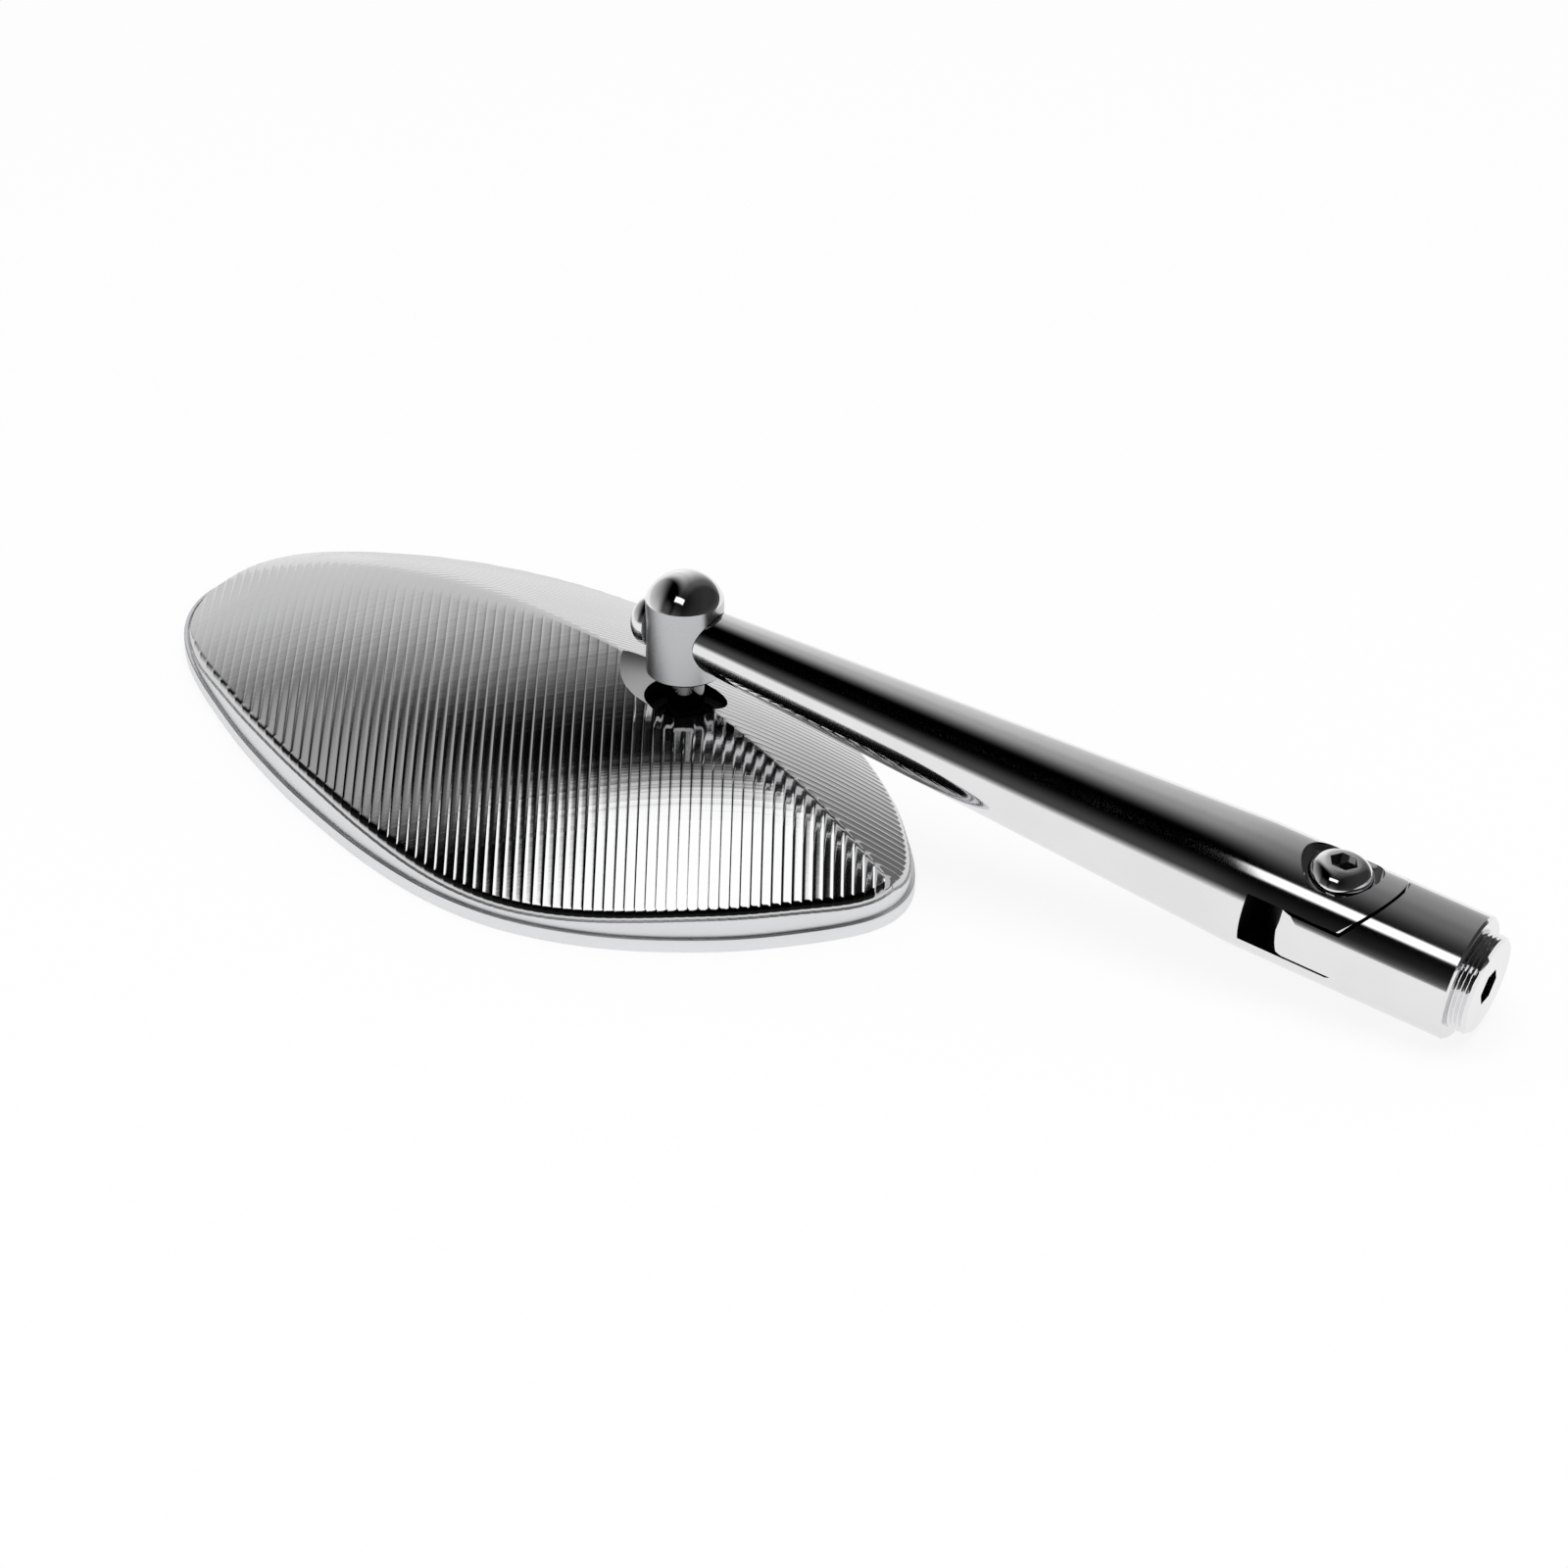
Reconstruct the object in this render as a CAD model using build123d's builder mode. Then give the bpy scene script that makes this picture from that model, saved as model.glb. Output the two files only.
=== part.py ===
"""Motorcycle mirror: ribbed leaf-shaped head on a ball joint, tapered stem with a fold hinge.

Millimetres. The mirror lies on its glass with the end of the stem on the same table.
Origin: foot of the post's axis on the glass plane. +Z up, +X along the stem seen from above.
"""

import os
from math import cos, hypot, radians, sin, sqrt, tan

from build123d import *

os.makedirs("parts", exist_ok=True)

# Clearances shared by the fits
running_fit = 0.05
seat_fit = 0.02
flat_gap = 0.02

# Stem: a long cone that ends in a round fork
barrel_d = 20.0
stem_small_d = 9.2
cone_length = 101.5
stem_slope = 9.6
pivot_x = 114.5
reach = 138.0

# Fold hinge
slot_width = 8.4
washer_t = 0.46
washer_d = 16.0
cheek_gap = 0.5
tongue_end_gap = 0.2
slot_end_gap = 0.6
pivot_d = 6.0
bush_wall = 1.5

# Button head screws: shank, head, head height, hexagon socket
pivot_head_d = 10.5
pivot_head_h = 3.3
pivot_socket_af = 4.0
pivot_seat_z = 7.0
pivot_recess_d = 12.8
pivot_end_z = 8.0
post_screw_d = 4.0
post_head_d = 8.2
post_head_h = 3.3
post_socket_af = 2.5
post_screw_bite = 14.0
button_crown = 0.68
button_edge = 0.12
button_socket = 0.6

# Threaded stud in the stem's end
stud_d = 16.0
stud_out = 3.0
stud_shank_d = 12.0
stud_shank_l = 9.0
stud_socket_af = 5.0
stud_socket_depth = 5.0
blind_gap = 0.4
edge_break = 0.4

# Post
post_d = 12.5
post_bottom_z = 25.5
post_shoulder_z = 38.4
post_dome_h = 4.4
post_seat_x = 5.6
post_gap = 0.15
thread_relief = 0.2
spot_face_gap = 0.4

# Ball joint, centred on the post's axis
ball_d = 10.0
neck_d = 6.0
stud_thread_d = 5.0
stud_thread_l = 5.0
liner_t = 1.0
liner_below = 3.0
liner_above = 2.6
seat_split = 0.6
seat_above = 3.6
seat_below = 6.9
socket_d = 20.0
spring_d = 17.0
spring_bore = 9.0
spring_t = 0.5
spring_h = 0.9
plug_t = 3.0
plug_pin_d = 2.0
plug_pin_pitch = 12.0
plug_pin_reach = 0.6

# Head
spine_angle = -16.5
rim_lower_h = 2.4
rim_step = 0.6
rim_wall = 1.8
glass_t = 2.0
glass_gap = 0.2
adhesive_t = 1.0
adhesive_inset = 3.0
mouth_d = 13.3
dish_r = 38.0
dish_z = 21.0
stock_h = 30.0
rim_arcs = 20

# Ridge of the head: two arcs that meet at its peak, along the spine
ridge_peak = -18.5
ridge_h = 23.5
ridge_left_r = 230.0
ridge_right_r = 134.0

# Ribs: sharp grooves between sharp crests, on circles about one axis under each facet
rib_angle = 45.0
rib_pitch = 1.6
rib_depth = 0.16
ridge_tolerance = 0.003
near_axis_across = 47.0
near_axis_z = -176.0
far_axis_across = 60.0
far_axis_z = -134.0
ribs_left = 60
ribs_right = 25
facet_depth = 30.0
near_sweep = (-34.0, 18.0)
far_sweep = (-50.0, 20.0)

# Worked-out places
barrel_r = barrel_d / 2
slope = radians(stem_slope)
stem_height = barrel_r * cos(slope) + reach * sin(slope)
tongue_t = slot_width - 2 * (washer_t + 2 * flat_gap)
cheek_r = barrel_r
shoulder_r = cheek_r + cheek_gap
tongue_r = barrel_r - tongue_end_gap
slot_end_x = pivot_x - barrel_r - slot_end_gap
recess_z = glass_t + adhesive_t
ball_r = ball_d / 2
liner_in_r = ball_r + running_fit
liner_out_r = liner_in_r + liner_t
seat_r = liner_out_r + running_fit
ball_z = recess_z + plug_t + spring_h + seat_below
socket_top_z = ball_z + seat_above + flat_gap
washer_bore = pivot_d + 2 * running_fit
bush_d = washer_bore + 2 * bush_wall

# Planes: the stem's own frame, its lengthwise section, the head's frame and upright sections
stem_dir = Vector(cos(slope), 0, -sin(slope))
stem_up = Vector(sin(slope), 0, cos(slope))
stem_plane = Plane(origin=(0, 0, stem_height), x_dir=stem_dir, z_dir=stem_up)
stem_section = Plane(origin=(0, 0, stem_height), x_dir=stem_dir, z_dir=(0, -1, 0))
stem_axis = Axis((0, 0, stem_height), stem_dir)
pivot_centre = stem_plane.from_local_coords(Vector(pivot_x, 0, 0))
pivot_plane = Plane(origin=pivot_centre, x_dir=stem_dir, z_dir=stem_up)
stem_end = stem_plane.from_local_coords(Vector(reach, 0, 0))
end_plane = Plane(origin=stem_end, x_dir=(0, 1, 0), z_dir=stem_dir)
head_plane = Plane(
    origin=(0, 0, 0),
    x_dir=(cos(radians(spine_angle)), sin(radians(spine_angle)), 0),
    z_dir=(0, 0, 1),
)
spine_wall = Plane(origin=(0, 0, 0), x_dir=head_plane.x_dir, z_dir=head_plane.y_dir)
upright = Plane(origin=(0, 0, 0), x_dir=(1, 0, 0), z_dir=(0, -1, 0))
ball_upright = Plane(origin=(0, 0, ball_z), x_dir=(1, 0, 0), z_dir=(0, -1, 0))
post_cross = Plane(origin=(0, 0, stem_height), x_dir=(0, 1, 0), z_dir=(-1, 0, 0))


def stem_radius(x):
    """Radius of the stem's cone at a distance from the post's axis."""
    return (stem_small_d + (barrel_d - stem_small_d) * x / cone_length) / 2


def ridge_z(s):
    """Height of the ridge at a distance along the spine."""
    radius = ridge_left_r if s < ridge_peak else ridge_right_r
    return ridge_h - radius + sqrt(radius**2 - (s - ridge_peak) ** 2)


def button_screw(seat, shank_d, head_d, head_h, socket_af, length):
    """Button head screw: its seat lies on the plane, its shank runs against the plane's normal."""
    section = Plane(origin=seat.origin, x_dir=seat.x_dir, z_dir=-seat.y_dir)
    crown_r = socket_af * button_crown
    edge_h = head_h * button_edge
    with BuildPart() as screw:
        with BuildSketch(section):
            with BuildLine():
                Polyline((0, head_h), (0, -length), (shank_d / 2, -length), (shank_d / 2, 0))
                Polyline((shank_d / 2, 0), (head_d / 2, 0), (head_d / 2, edge_h))
                TangentArc((head_d / 2, edge_h), (crown_r, head_h), tangent=(0, 1))
                Line((crown_r, head_h), (0, head_h))
            make_face()
        revolve(axis=Axis(seat.origin, seat.z_dir))
        with BuildSketch(seat.offset(head_h)):
            RegularPolygon(socket_af / 2, 6, major_radius=False)
        extrude(amount=-head_h * button_socket, mode=Mode.SUBTRACT)
    return screw.part


def washer(plane, outer_d, inner_d, thickness):
    """Flat ring standing on a plane."""
    with BuildPart() as ring:
        with BuildSketch(plane):
            Circle(outer_d / 2)
            Circle(inner_d / 2, mode=Mode.SUBTRACT)
        extrude(amount=thickness)
    return ring.part


def publish(piece, name):
    """Label a finished piece and write its file."""
    piece.label = name
    export_step(piece, f"parts/{name}.step")


def leaf(inset):
    """Leaf outline of the head as a face, drawn in by an inset square to the outline all round."""
    with BuildLine() as outline:
        Spline(
            (48.2, -4.2),
            (33.0, -29.6),
            (7.2, -46.7),
            (-30.8, -47.7),
            (-83.9, -32.7),
            (-103.4, -20.3),
            (-109.3, -8.5),
            (-91.3, 15.0),
            (-56.1, 35.7),
            (-20.0, 38.5),
            (17.6, 25.2),
            (42.4, 9.2),
            periodic=True,
        )
    rim = outline.edges()[0]
    drawn_in = []
    for n in range(2 * rim_arcs + 1):
        along = rim % (n / (2 * rim_arcs))
        drawn_in.append(rim @ (n / (2 * rim_arcs)) + Vector(along.Y, -along.X, 0) * inset)
    with BuildSketch() as face:
        with BuildLine():
            for n in range(0, 2 * rim_arcs, 2):
                ThreePointArc(drawn_in[n], drawn_in[n + 1], drawn_in[n + 2])
        make_face()
    return face.sketch


def rib_profile(axis_across, axis_z, side):
    """One facet's meridian: crests and groove floors in turn, on circles through their ridge points."""
    lean = radians(rib_angle)
    points = []
    for n in range(-2 * ribs_left, 2 * ribs_right + 1):
        along = n * rib_pitch / 2
        height = ridge_z(along / cos(lean)) - rib_depth * (n % 2)
        points.append((side * along, hypot(height - axis_z, along * tan(lean) + axis_across)))
    return points


def facet_body(axis_across, axis_z, along_angle, side, sweep):
    """Revolved body under one ribbed facet: side is 1 on the near facet and -1 on the far one."""
    angle = radians(along_angle)
    along = Vector(cos(angle), sin(angle), 0)
    across = Vector(-sin(angle), cos(angle), 0)
    centre = across * axis_across + Vector(0, 0, axis_z)
    tilt = radians(sweep[1])
    up = Vector(0, 0, cos(tilt)) + across * sin(tilt)
    profile = rib_profile(axis_across, axis_z, side)
    first, last = profile[0][0], profile[-1][0]
    floor_r = min(radius for _, radius in profile) - facet_depth
    with BuildPart() as facet:
        with BuildSketch(Plane(origin=centre, x_dir=along, z_dir=along.cross(up))):
            with BuildLine():
                Polyline(*profile, (last, floor_r), (first, floor_r), close=True)
            make_face()
        revolve(axis=Axis(centre, along), revolution_arc=sweep[1] - sweep[0])
    return facet.part


def ribbed_half(facet, keep):
    """The block on one side of the spine, under that side's ribbed facet."""
    with BuildPart() as half:
        with BuildSketch(head_plane):
            add(leaf(0))
        extrude(amount=rim_lower_h)
        with BuildSketch(head_plane.offset(rim_lower_h)):
            add(leaf(rim_step))
        extrude(amount=stock_h - rim_lower_h)
        add(facet, mode=Mode.INTERSECT)
        split(bisect_by=spine_wall, keep=keep)
    return half.part


# Head: outline block under both ribbed facets, halved at the spine and joined along the ridge
near_along = spine_angle + rib_angle
far_along = spine_angle + 180 - rib_angle
near_facet = facet_body(near_axis_across, near_axis_z, near_along, 1, near_sweep)
far_facet = facet_body(far_axis_across, far_axis_z, far_along, -1, far_sweep)
near_half = ribbed_half(near_facet, Keep.BOTTOM)
far_half = ribbed_half(far_facet, Keep.TOP)
with BuildPart() as mirror_head:
    add(near_half.fuse(far_half, tol=ridge_tolerance))
    with BuildSketch(head_plane):
        add(leaf(rim_wall))
    extrude(amount=recess_z, mode=Mode.SUBTRACT)
    with BuildSketch(Plane.XY):
        Circle(socket_d / 2)
    extrude(amount=socket_top_z, mode=Mode.SUBTRACT)
    with BuildSketch(Plane.XY):
        Circle(mouth_d / 2)
    extrude(amount=stock_h, mode=Mode.SUBTRACT)
    with Locations((0, 0, dish_z + sqrt(dish_r**2 - (mouth_d / 2) ** 2))):
        Sphere(dish_r, mode=Mode.SUBTRACT)
publish(mirror_head.part, "mirror_head")

# Glass and the foam sheet that holds it in the recess
with BuildPart() as mirror_glass:
    with BuildSketch(head_plane):
        add(leaf(rim_wall + glass_gap))
    extrude(amount=glass_t)
publish(mirror_glass.part, "mirror_glass")

with BuildPart() as glass_pad:
    with BuildSketch(head_plane.offset(glass_t)):
        add(leaf(rim_wall + adhesive_inset))
    extrude(amount=adhesive_t)
publish(glass_pad.part, "glass_pad")

# Ball stud: ball, neck and the thread that holds it in the post
neck_r = neck_d / 2
neck_h = sqrt(ball_r**2 - neck_r**2)
neck_top = post_bottom_z - ball_z
stud_thread_r = stud_thread_d / 2
thread_top = neck_top + stud_thread_l
with BuildPart() as ball_stud:
    with BuildSketch(ball_upright):
        with BuildLine():
            ThreePointArc((0, -ball_r), (ball_r, 0), (neck_r, neck_h))
            Polyline((neck_r, neck_h), (neck_r, neck_top), (stud_thread_r, neck_top))
            Polyline((stud_thread_r, neck_top), (stud_thread_r, thread_top), (0, thread_top), (0, -ball_r))
        make_face()
    revolve(axis=Axis.Z)
publish(ball_stud.part, "ball_stud")

# Liner: a spherical band between the ball and its seats
with BuildPart() as ball_liner:
    with BuildSketch(ball_upright):
        Circle(liner_out_r)
        Circle(liner_in_r, mode=Mode.SUBTRACT)
        with Locations((liner_out_r / 2, (liner_above - liner_below) / 2)):
            Rectangle(liner_out_r, liner_above + liner_below, mode=Mode.INTERSECT)
    revolve(axis=Axis.Z)
publish(ball_liner.part, "ball_liner")

# Seats: two rings with one spherical face each, above and below the ball's centre
seat_out_r = socket_d / 2 - running_fit
with BuildPart() as upper_seat:
    with BuildSketch(ball_upright):
        with Locations((seat_out_r / 2, (seat_split / 2 + seat_above) / 2)):
            Rectangle(seat_out_r, seat_above - seat_split / 2)
        Circle(seat_r, mode=Mode.SUBTRACT)
    revolve(axis=Axis.Z)
publish(upper_seat.part, "upper_seat")

with BuildPart() as lower_seat:
    with BuildSketch(ball_upright):
        with Locations((seat_out_r / 2, -(seat_split / 2 + seat_below) / 2)):
            Rectangle(seat_out_r, seat_below - seat_split / 2)
        Circle(seat_r, mode=Mode.SUBTRACT)
    revolve(axis=Axis.Z)
publish(lower_seat.part, "lower_seat")

# Disc spring and the plug that loads it, closed in behind the glass
plug_top = recess_z + plug_t
spring_top = plug_top + spring_h - flat_gap
with BuildPart() as disc_spring:
    with BuildSketch(upright):
        with BuildLine():
            Polyline(
                (spring_d / 2, plug_top + flat_gap),
                (spring_d / 2, plug_top + flat_gap + spring_t),
                (spring_bore / 2, spring_top),
                (spring_bore / 2, spring_top - spring_t),
                close=True,
            )
        make_face()
    revolve(axis=Axis.Z)
publish(disc_spring.part, "disc_spring")

with BuildPart() as retaining_plug:
    with BuildSketch(Plane.XY.offset(recess_z)):
        Circle(socket_d / 2 - seat_fit)
    extrude(amount=plug_t)
    with BuildSketch(Plane.XY.offset(recess_z)):
        with GridLocations(plug_pin_pitch, 0, 2, 1):
            Circle(plug_pin_d / 2)
    extrude(amount=plug_t * plug_pin_reach, mode=Mode.SUBTRACT)
publish(retaining_plug.part, "retaining_plug")

# Post: domed barrel, bored across for the screw and tapped below for the ball stud
post_r = post_d / 2
post_top = post_shoulder_z + post_dome_h
with BuildPart() as post:
    with BuildSketch(upright):
        with BuildLine():
            Polyline(
                (0, post_top),
                (0, post_bottom_z),
                (post_r - edge_break, post_bottom_z),
                (post_r, post_bottom_z + edge_break),
                (post_r, post_shoulder_z),
            )
            TangentArc((0, post_top), (post_r, post_shoulder_z), tangent=(1, 0))
        make_face()
    revolve(axis=Axis.Z)
    with BuildSketch(post_cross):
        Circle(post_screw_d / 2 + seat_fit)
    extrude(amount=post_d, both=True, mode=Mode.SUBTRACT)
    with BuildSketch(post_cross.offset(post_seat_x)):
        Circle(post_head_d / 2 + spot_face_gap)
    extrude(amount=post_d, mode=Mode.SUBTRACT)
    with BuildSketch(Plane.XY.offset(post_bottom_z)):
        Circle(stud_thread_r + seat_fit)
    extrude(amount=stud_thread_l + thread_relief, mode=Mode.SUBTRACT)
publish(post.part, "post")

post_screw = button_screw(
    post_cross.offset(post_seat_x),
    post_screw_d,
    post_head_d,
    post_head_h,
    post_socket_af,
    post_seat_x + post_screw_bite,
)
publish(post_screw, "post_screw")

# Stem: cone and fork turned as one, slotted, bored for the pivot and coped to the post
with BuildPart() as stem_arm:
    with BuildSketch(stem_section):
        with BuildLine():
            Polyline(
                (0, 0),
                (0, stem_radius(0)),
                (cone_length, barrel_r),
                (pivot_x + cheek_r, barrel_r),
                (pivot_x + cheek_r, 0),
                close=True,
            )
        make_face()
    revolve(axis=stem_axis)
    with BuildSketch(stem_plane):
        with Locations((pivot_x, 0)):
            Circle(cheek_r)
        with Locations((pivot_x / 2, 0)):
            Rectangle(pivot_x, barrel_d)
    extrude(amount=barrel_r, both=True, mode=Mode.INTERSECT)
    with BuildSketch(stem_section):
        with Locations(((slot_end_x + pivot_x + barrel_r) / 2, 0)):
            Rectangle(pivot_x + barrel_r - slot_end_x, slot_width)
    extrude(amount=barrel_r, both=True, mode=Mode.SUBTRACT)
    with BuildSketch(pivot_plane.offset(-(pivot_end_z + blind_gap))):
        Circle(pivot_d / 2 + seat_fit)
    extrude(amount=pivot_end_z + blind_gap + barrel_r, mode=Mode.SUBTRACT)
    with BuildSketch(pivot_plane.offset(pivot_seat_z)):
        Circle(pivot_recess_d / 2)
    extrude(amount=barrel_r, mode=Mode.SUBTRACT)
    with BuildSketch(Plane.XY):
        Circle(post_r + post_gap)
    extrude(amount=2 * stem_height, mode=Mode.SUBTRACT)
    with BuildSketch(post_cross):
        Circle(post_screw_d / 2 + seat_fit)
    extrude(amount=-(post_screw_bite + blind_gap), mode=Mode.SUBTRACT)
publish(stem_arm.part, "stem_arm")

# Stem base: barrel with a round-ended tongue between two hollow shoulders
with BuildPart() as stem_base:
    with BuildSketch(stem_section):
        with BuildLine():
            Polyline(
                (pivot_x - tongue_r, 0),
                (pivot_x - tongue_r, barrel_r),
                (reach - edge_break, barrel_r),
                (reach, barrel_r - edge_break),
                (reach, 0),
                close=True,
            )
        make_face()
    revolve(axis=stem_axis)
    with BuildSketch(stem_plane):
        with Locations((pivot_x, 0)):
            Circle(tongue_r)
        with Locations(((pivot_x + reach) / 2, 0)):
            Rectangle(reach - pivot_x, barrel_d)
    extrude(amount=barrel_r, both=True, mode=Mode.INTERSECT)
    for side in (1, -1):
        with BuildSketch(stem_plane.offset(side * tongue_t / 2)):
            with Locations((pivot_x, 0)):
                Circle(shoulder_r)
            with Locations((pivot_x - barrel_r, 0)):
                Rectangle(barrel_d, barrel_d + cheek_gap)
        extrude(amount=side * barrel_r, mode=Mode.SUBTRACT)
    with BuildSketch(pivot_plane):
        Circle(bush_d / 2 + seat_fit)
    extrude(amount=tongue_t, both=True, mode=Mode.SUBTRACT)
    with BuildSketch(end_plane):
        Circle(stud_shank_d / 2 + seat_fit)
    extrude(amount=-(stud_shank_l + blind_gap), mode=Mode.SUBTRACT)
publish(stem_base.part, "stem_base")

# Hinge pieces: bush in the tongue, a friction washer on each side, the pivot screw
publish(washer(pivot_plane.offset(-tongue_t / 2), bush_d, washer_bore, tongue_t), "pivot_bush")
washer_low = tongue_t / 2 + flat_gap
publish(washer(pivot_plane.offset(washer_low), washer_d, washer_bore, washer_t), "upper_friction_washer")
publish(washer(pivot_plane.offset(-washer_low), washer_d, washer_bore, -washer_t), "lower_friction_washer")
pivot_screw = button_screw(
    pivot_plane.offset(pivot_seat_z),
    pivot_d,
    pivot_head_d,
    pivot_head_h,
    pivot_socket_af,
    pivot_seat_z + pivot_end_z,
)
publish(pivot_screw, "pivot_screw")

# Mounting stud: plain shank in the barrel, threaded collar outside it, hexagon socket in its end
with BuildPart() as mount_stud:
    with BuildSketch(end_plane.offset(-stud_shank_l)):
        Circle(stud_shank_d / 2)
    extrude(amount=stud_shank_l)
    with BuildSketch(end_plane):
        Circle(stud_d / 2)
    extrude(amount=stud_out)
    chamfer(mount_stud.edges().group_by(Axis((0, 0, 0), stem_dir))[-1], edge_break)
    with BuildSketch(end_plane.offset(stud_out)):
        RegularPolygon(stud_socket_af / 2, 6, major_radius=False)
    extrude(amount=-stud_socket_depth, mode=Mode.SUBTRACT)
publish(mount_stud.part, "mount_stud")
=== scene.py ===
"""Looks of a motorcycle mirror: ribbed leaf-shaped head, ball joint, tapered stem with a fold hinge.

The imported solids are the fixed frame. The head's skin and the threaded stud are surfaces computed
here, the other metal pieces in view are copies of the solids, with true normals on their round faces,
and each one rides the body of the solid it stands for. Sizes are in millimetres, Blender's in metres.
"""

import logging
import math
from dataclasses import dataclass
from enum import Enum
from functools import cached_property
from typing import Any

import bmesh
import bpy
import numpy as np
from mathutils import Matrix, Vector
from numpy.typing import NDArray


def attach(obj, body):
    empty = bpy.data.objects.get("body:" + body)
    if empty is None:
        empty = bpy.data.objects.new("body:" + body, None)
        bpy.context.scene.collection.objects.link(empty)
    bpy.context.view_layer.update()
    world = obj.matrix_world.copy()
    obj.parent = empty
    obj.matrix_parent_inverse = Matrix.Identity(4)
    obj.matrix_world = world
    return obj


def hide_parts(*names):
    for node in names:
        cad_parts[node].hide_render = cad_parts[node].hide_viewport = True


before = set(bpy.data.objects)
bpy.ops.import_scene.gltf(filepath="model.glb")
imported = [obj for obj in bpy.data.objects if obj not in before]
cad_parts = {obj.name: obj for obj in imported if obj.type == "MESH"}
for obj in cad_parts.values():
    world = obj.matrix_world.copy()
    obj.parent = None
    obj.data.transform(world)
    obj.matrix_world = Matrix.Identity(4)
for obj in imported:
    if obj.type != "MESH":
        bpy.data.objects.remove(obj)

Array = NDArray[np.float64]
Triple = tuple[float, float, float]
log = logging.getLogger("mirror_scene")

MM = 0.001

# Distances in millimetres under which points are one, and what counts as no length and no area
SAME_POINT = 1e-5
WELD = 0.002
SLIVER = 0.001
NO_LENGTH = 1e-12
NO_AREA = 1e-7

X: Triple = (1.0, 0.0, 0.0)
Y: Triple = (0.0, 1.0, 0.0)
Z: Triple = (0.0, 0.0, 1.0)


class Body(Enum):
    """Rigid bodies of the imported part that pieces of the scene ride."""

    BASE = "base"
    ARM = "arm"
    HEAD = "head"


class Slot(Enum):
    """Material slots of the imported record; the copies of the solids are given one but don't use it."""

    HEAD_METAL = "head_metal"
    STEM_METAL = "stem_metal"
    SCREW_STEEL = "screw_steel"


def unit(vectors: Array) -> Array:
    """Vectors at length one.

    Args:
        vectors: Any array, whose last axis runs along each vector.

    Returns:
        The same array, each vector divided by its own length.
    """
    length = np.linalg.norm(vectors, axis=-1, keepdims=True)
    return vectors / np.maximum(length, NO_LENGTH)


def ramp(value: Array, start: float, end: float) -> Array:
    """A smooth step, 3u^2 - 2u^3, from 0 at the start to 1 at the end.

    Args:
        value: Numbers to step.
        start: Where the step begins.
        end: Where it ends, which may lie below the start.

    Returns:
        Numbers from 0 to 1.
    """
    u = np.clip((value - start) / (end - start), 0, 1)
    return u * u * (3 - 2 * u)


@dataclass
class Patch:
    """A surface given by a grid of points, rows by columns.

    Attributes:
        points: Rows x columns x 3.
        outward: One vector, or one for each cell, on the side the faces should look to.
    """

    points: Array
    outward: Array

    def quads(self) -> NDArray[np.int64]:
        """Corner numbers of each cell that has an area, turned to look outward.

        Returns:
            Cells x 4 indices into the patch's own points.
        """
        rows, cols, _ = self.points.shape
        index = np.arange(rows * cols).reshape(rows, cols)
        cells = np.stack([index[:-1, :-1], index[:-1, 1:], index[1:, 1:], index[1:, :-1]], -1)
        flat = self.points.reshape(-1, 3)
        normal = np.cross(
            flat[cells[..., 2]] - flat[cells[..., 0]], flat[cells[..., 3]] - flat[cells[..., 1]]
        )
        if (normal * self.outward).sum() < 0:
            cells = cells[..., ::-1]
        return cells[np.linalg.norm(normal, axis=-1) > NO_AREA]


def piece_from_patches(name: str, patches: list[Patch], sharp_deg: float) -> bpy.types.Object:
    """One object made of patches, welded where they meet and smooth up to an angle.

    Args:
        name: Name of the new piece.
        patches: Surfaces in millimetres, in the shared frame.
        sharp_deg: Edges with a larger angle stay sharp.

    Returns:
        The new object, in the scene.
    """
    corners, cells, count = [], [], 0
    for patch in patches:
        corners.append(patch.points.reshape(-1, 3) * MM)
        cells.append(patch.quads() + count)
        count += len(corners[-1])
    mesh = bpy.data.meshes.new(name)
    mesh.from_pydata(np.concatenate(corners), [], np.concatenate(cells))
    welded = bmesh.new()
    welded.from_mesh(mesh)
    bmesh.ops.remove_doubles(welded, verts=welded.verts, dist=WELD * MM)
    bmesh.ops.dissolve_degenerate(welded, edges=welded.edges, dist=SLIVER * MM)
    welded.to_mesh(mesh)
    welded.free()
    mesh.shade_smooth()
    mesh.set_sharp_from_angle(angle=math.radians(sharp_deg))
    piece = bpy.data.objects.new(name, mesh)
    bpy.context.scene.collection.objects.link(piece)
    log.info("%s: %d faces", name, len(mesh.polygons))
    return piece


def place(piece: bpy.types.Object, body: Body, material: bpy.types.Material) -> None:
    """Let a piece ride its body in its finish.

    Args:
        piece: The new object.
        body: The body that carries it.
        material: The finish.
    """
    piece.data.materials.clear()
    piece.data.materials.append(material)
    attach(piece, body.value)


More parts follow.
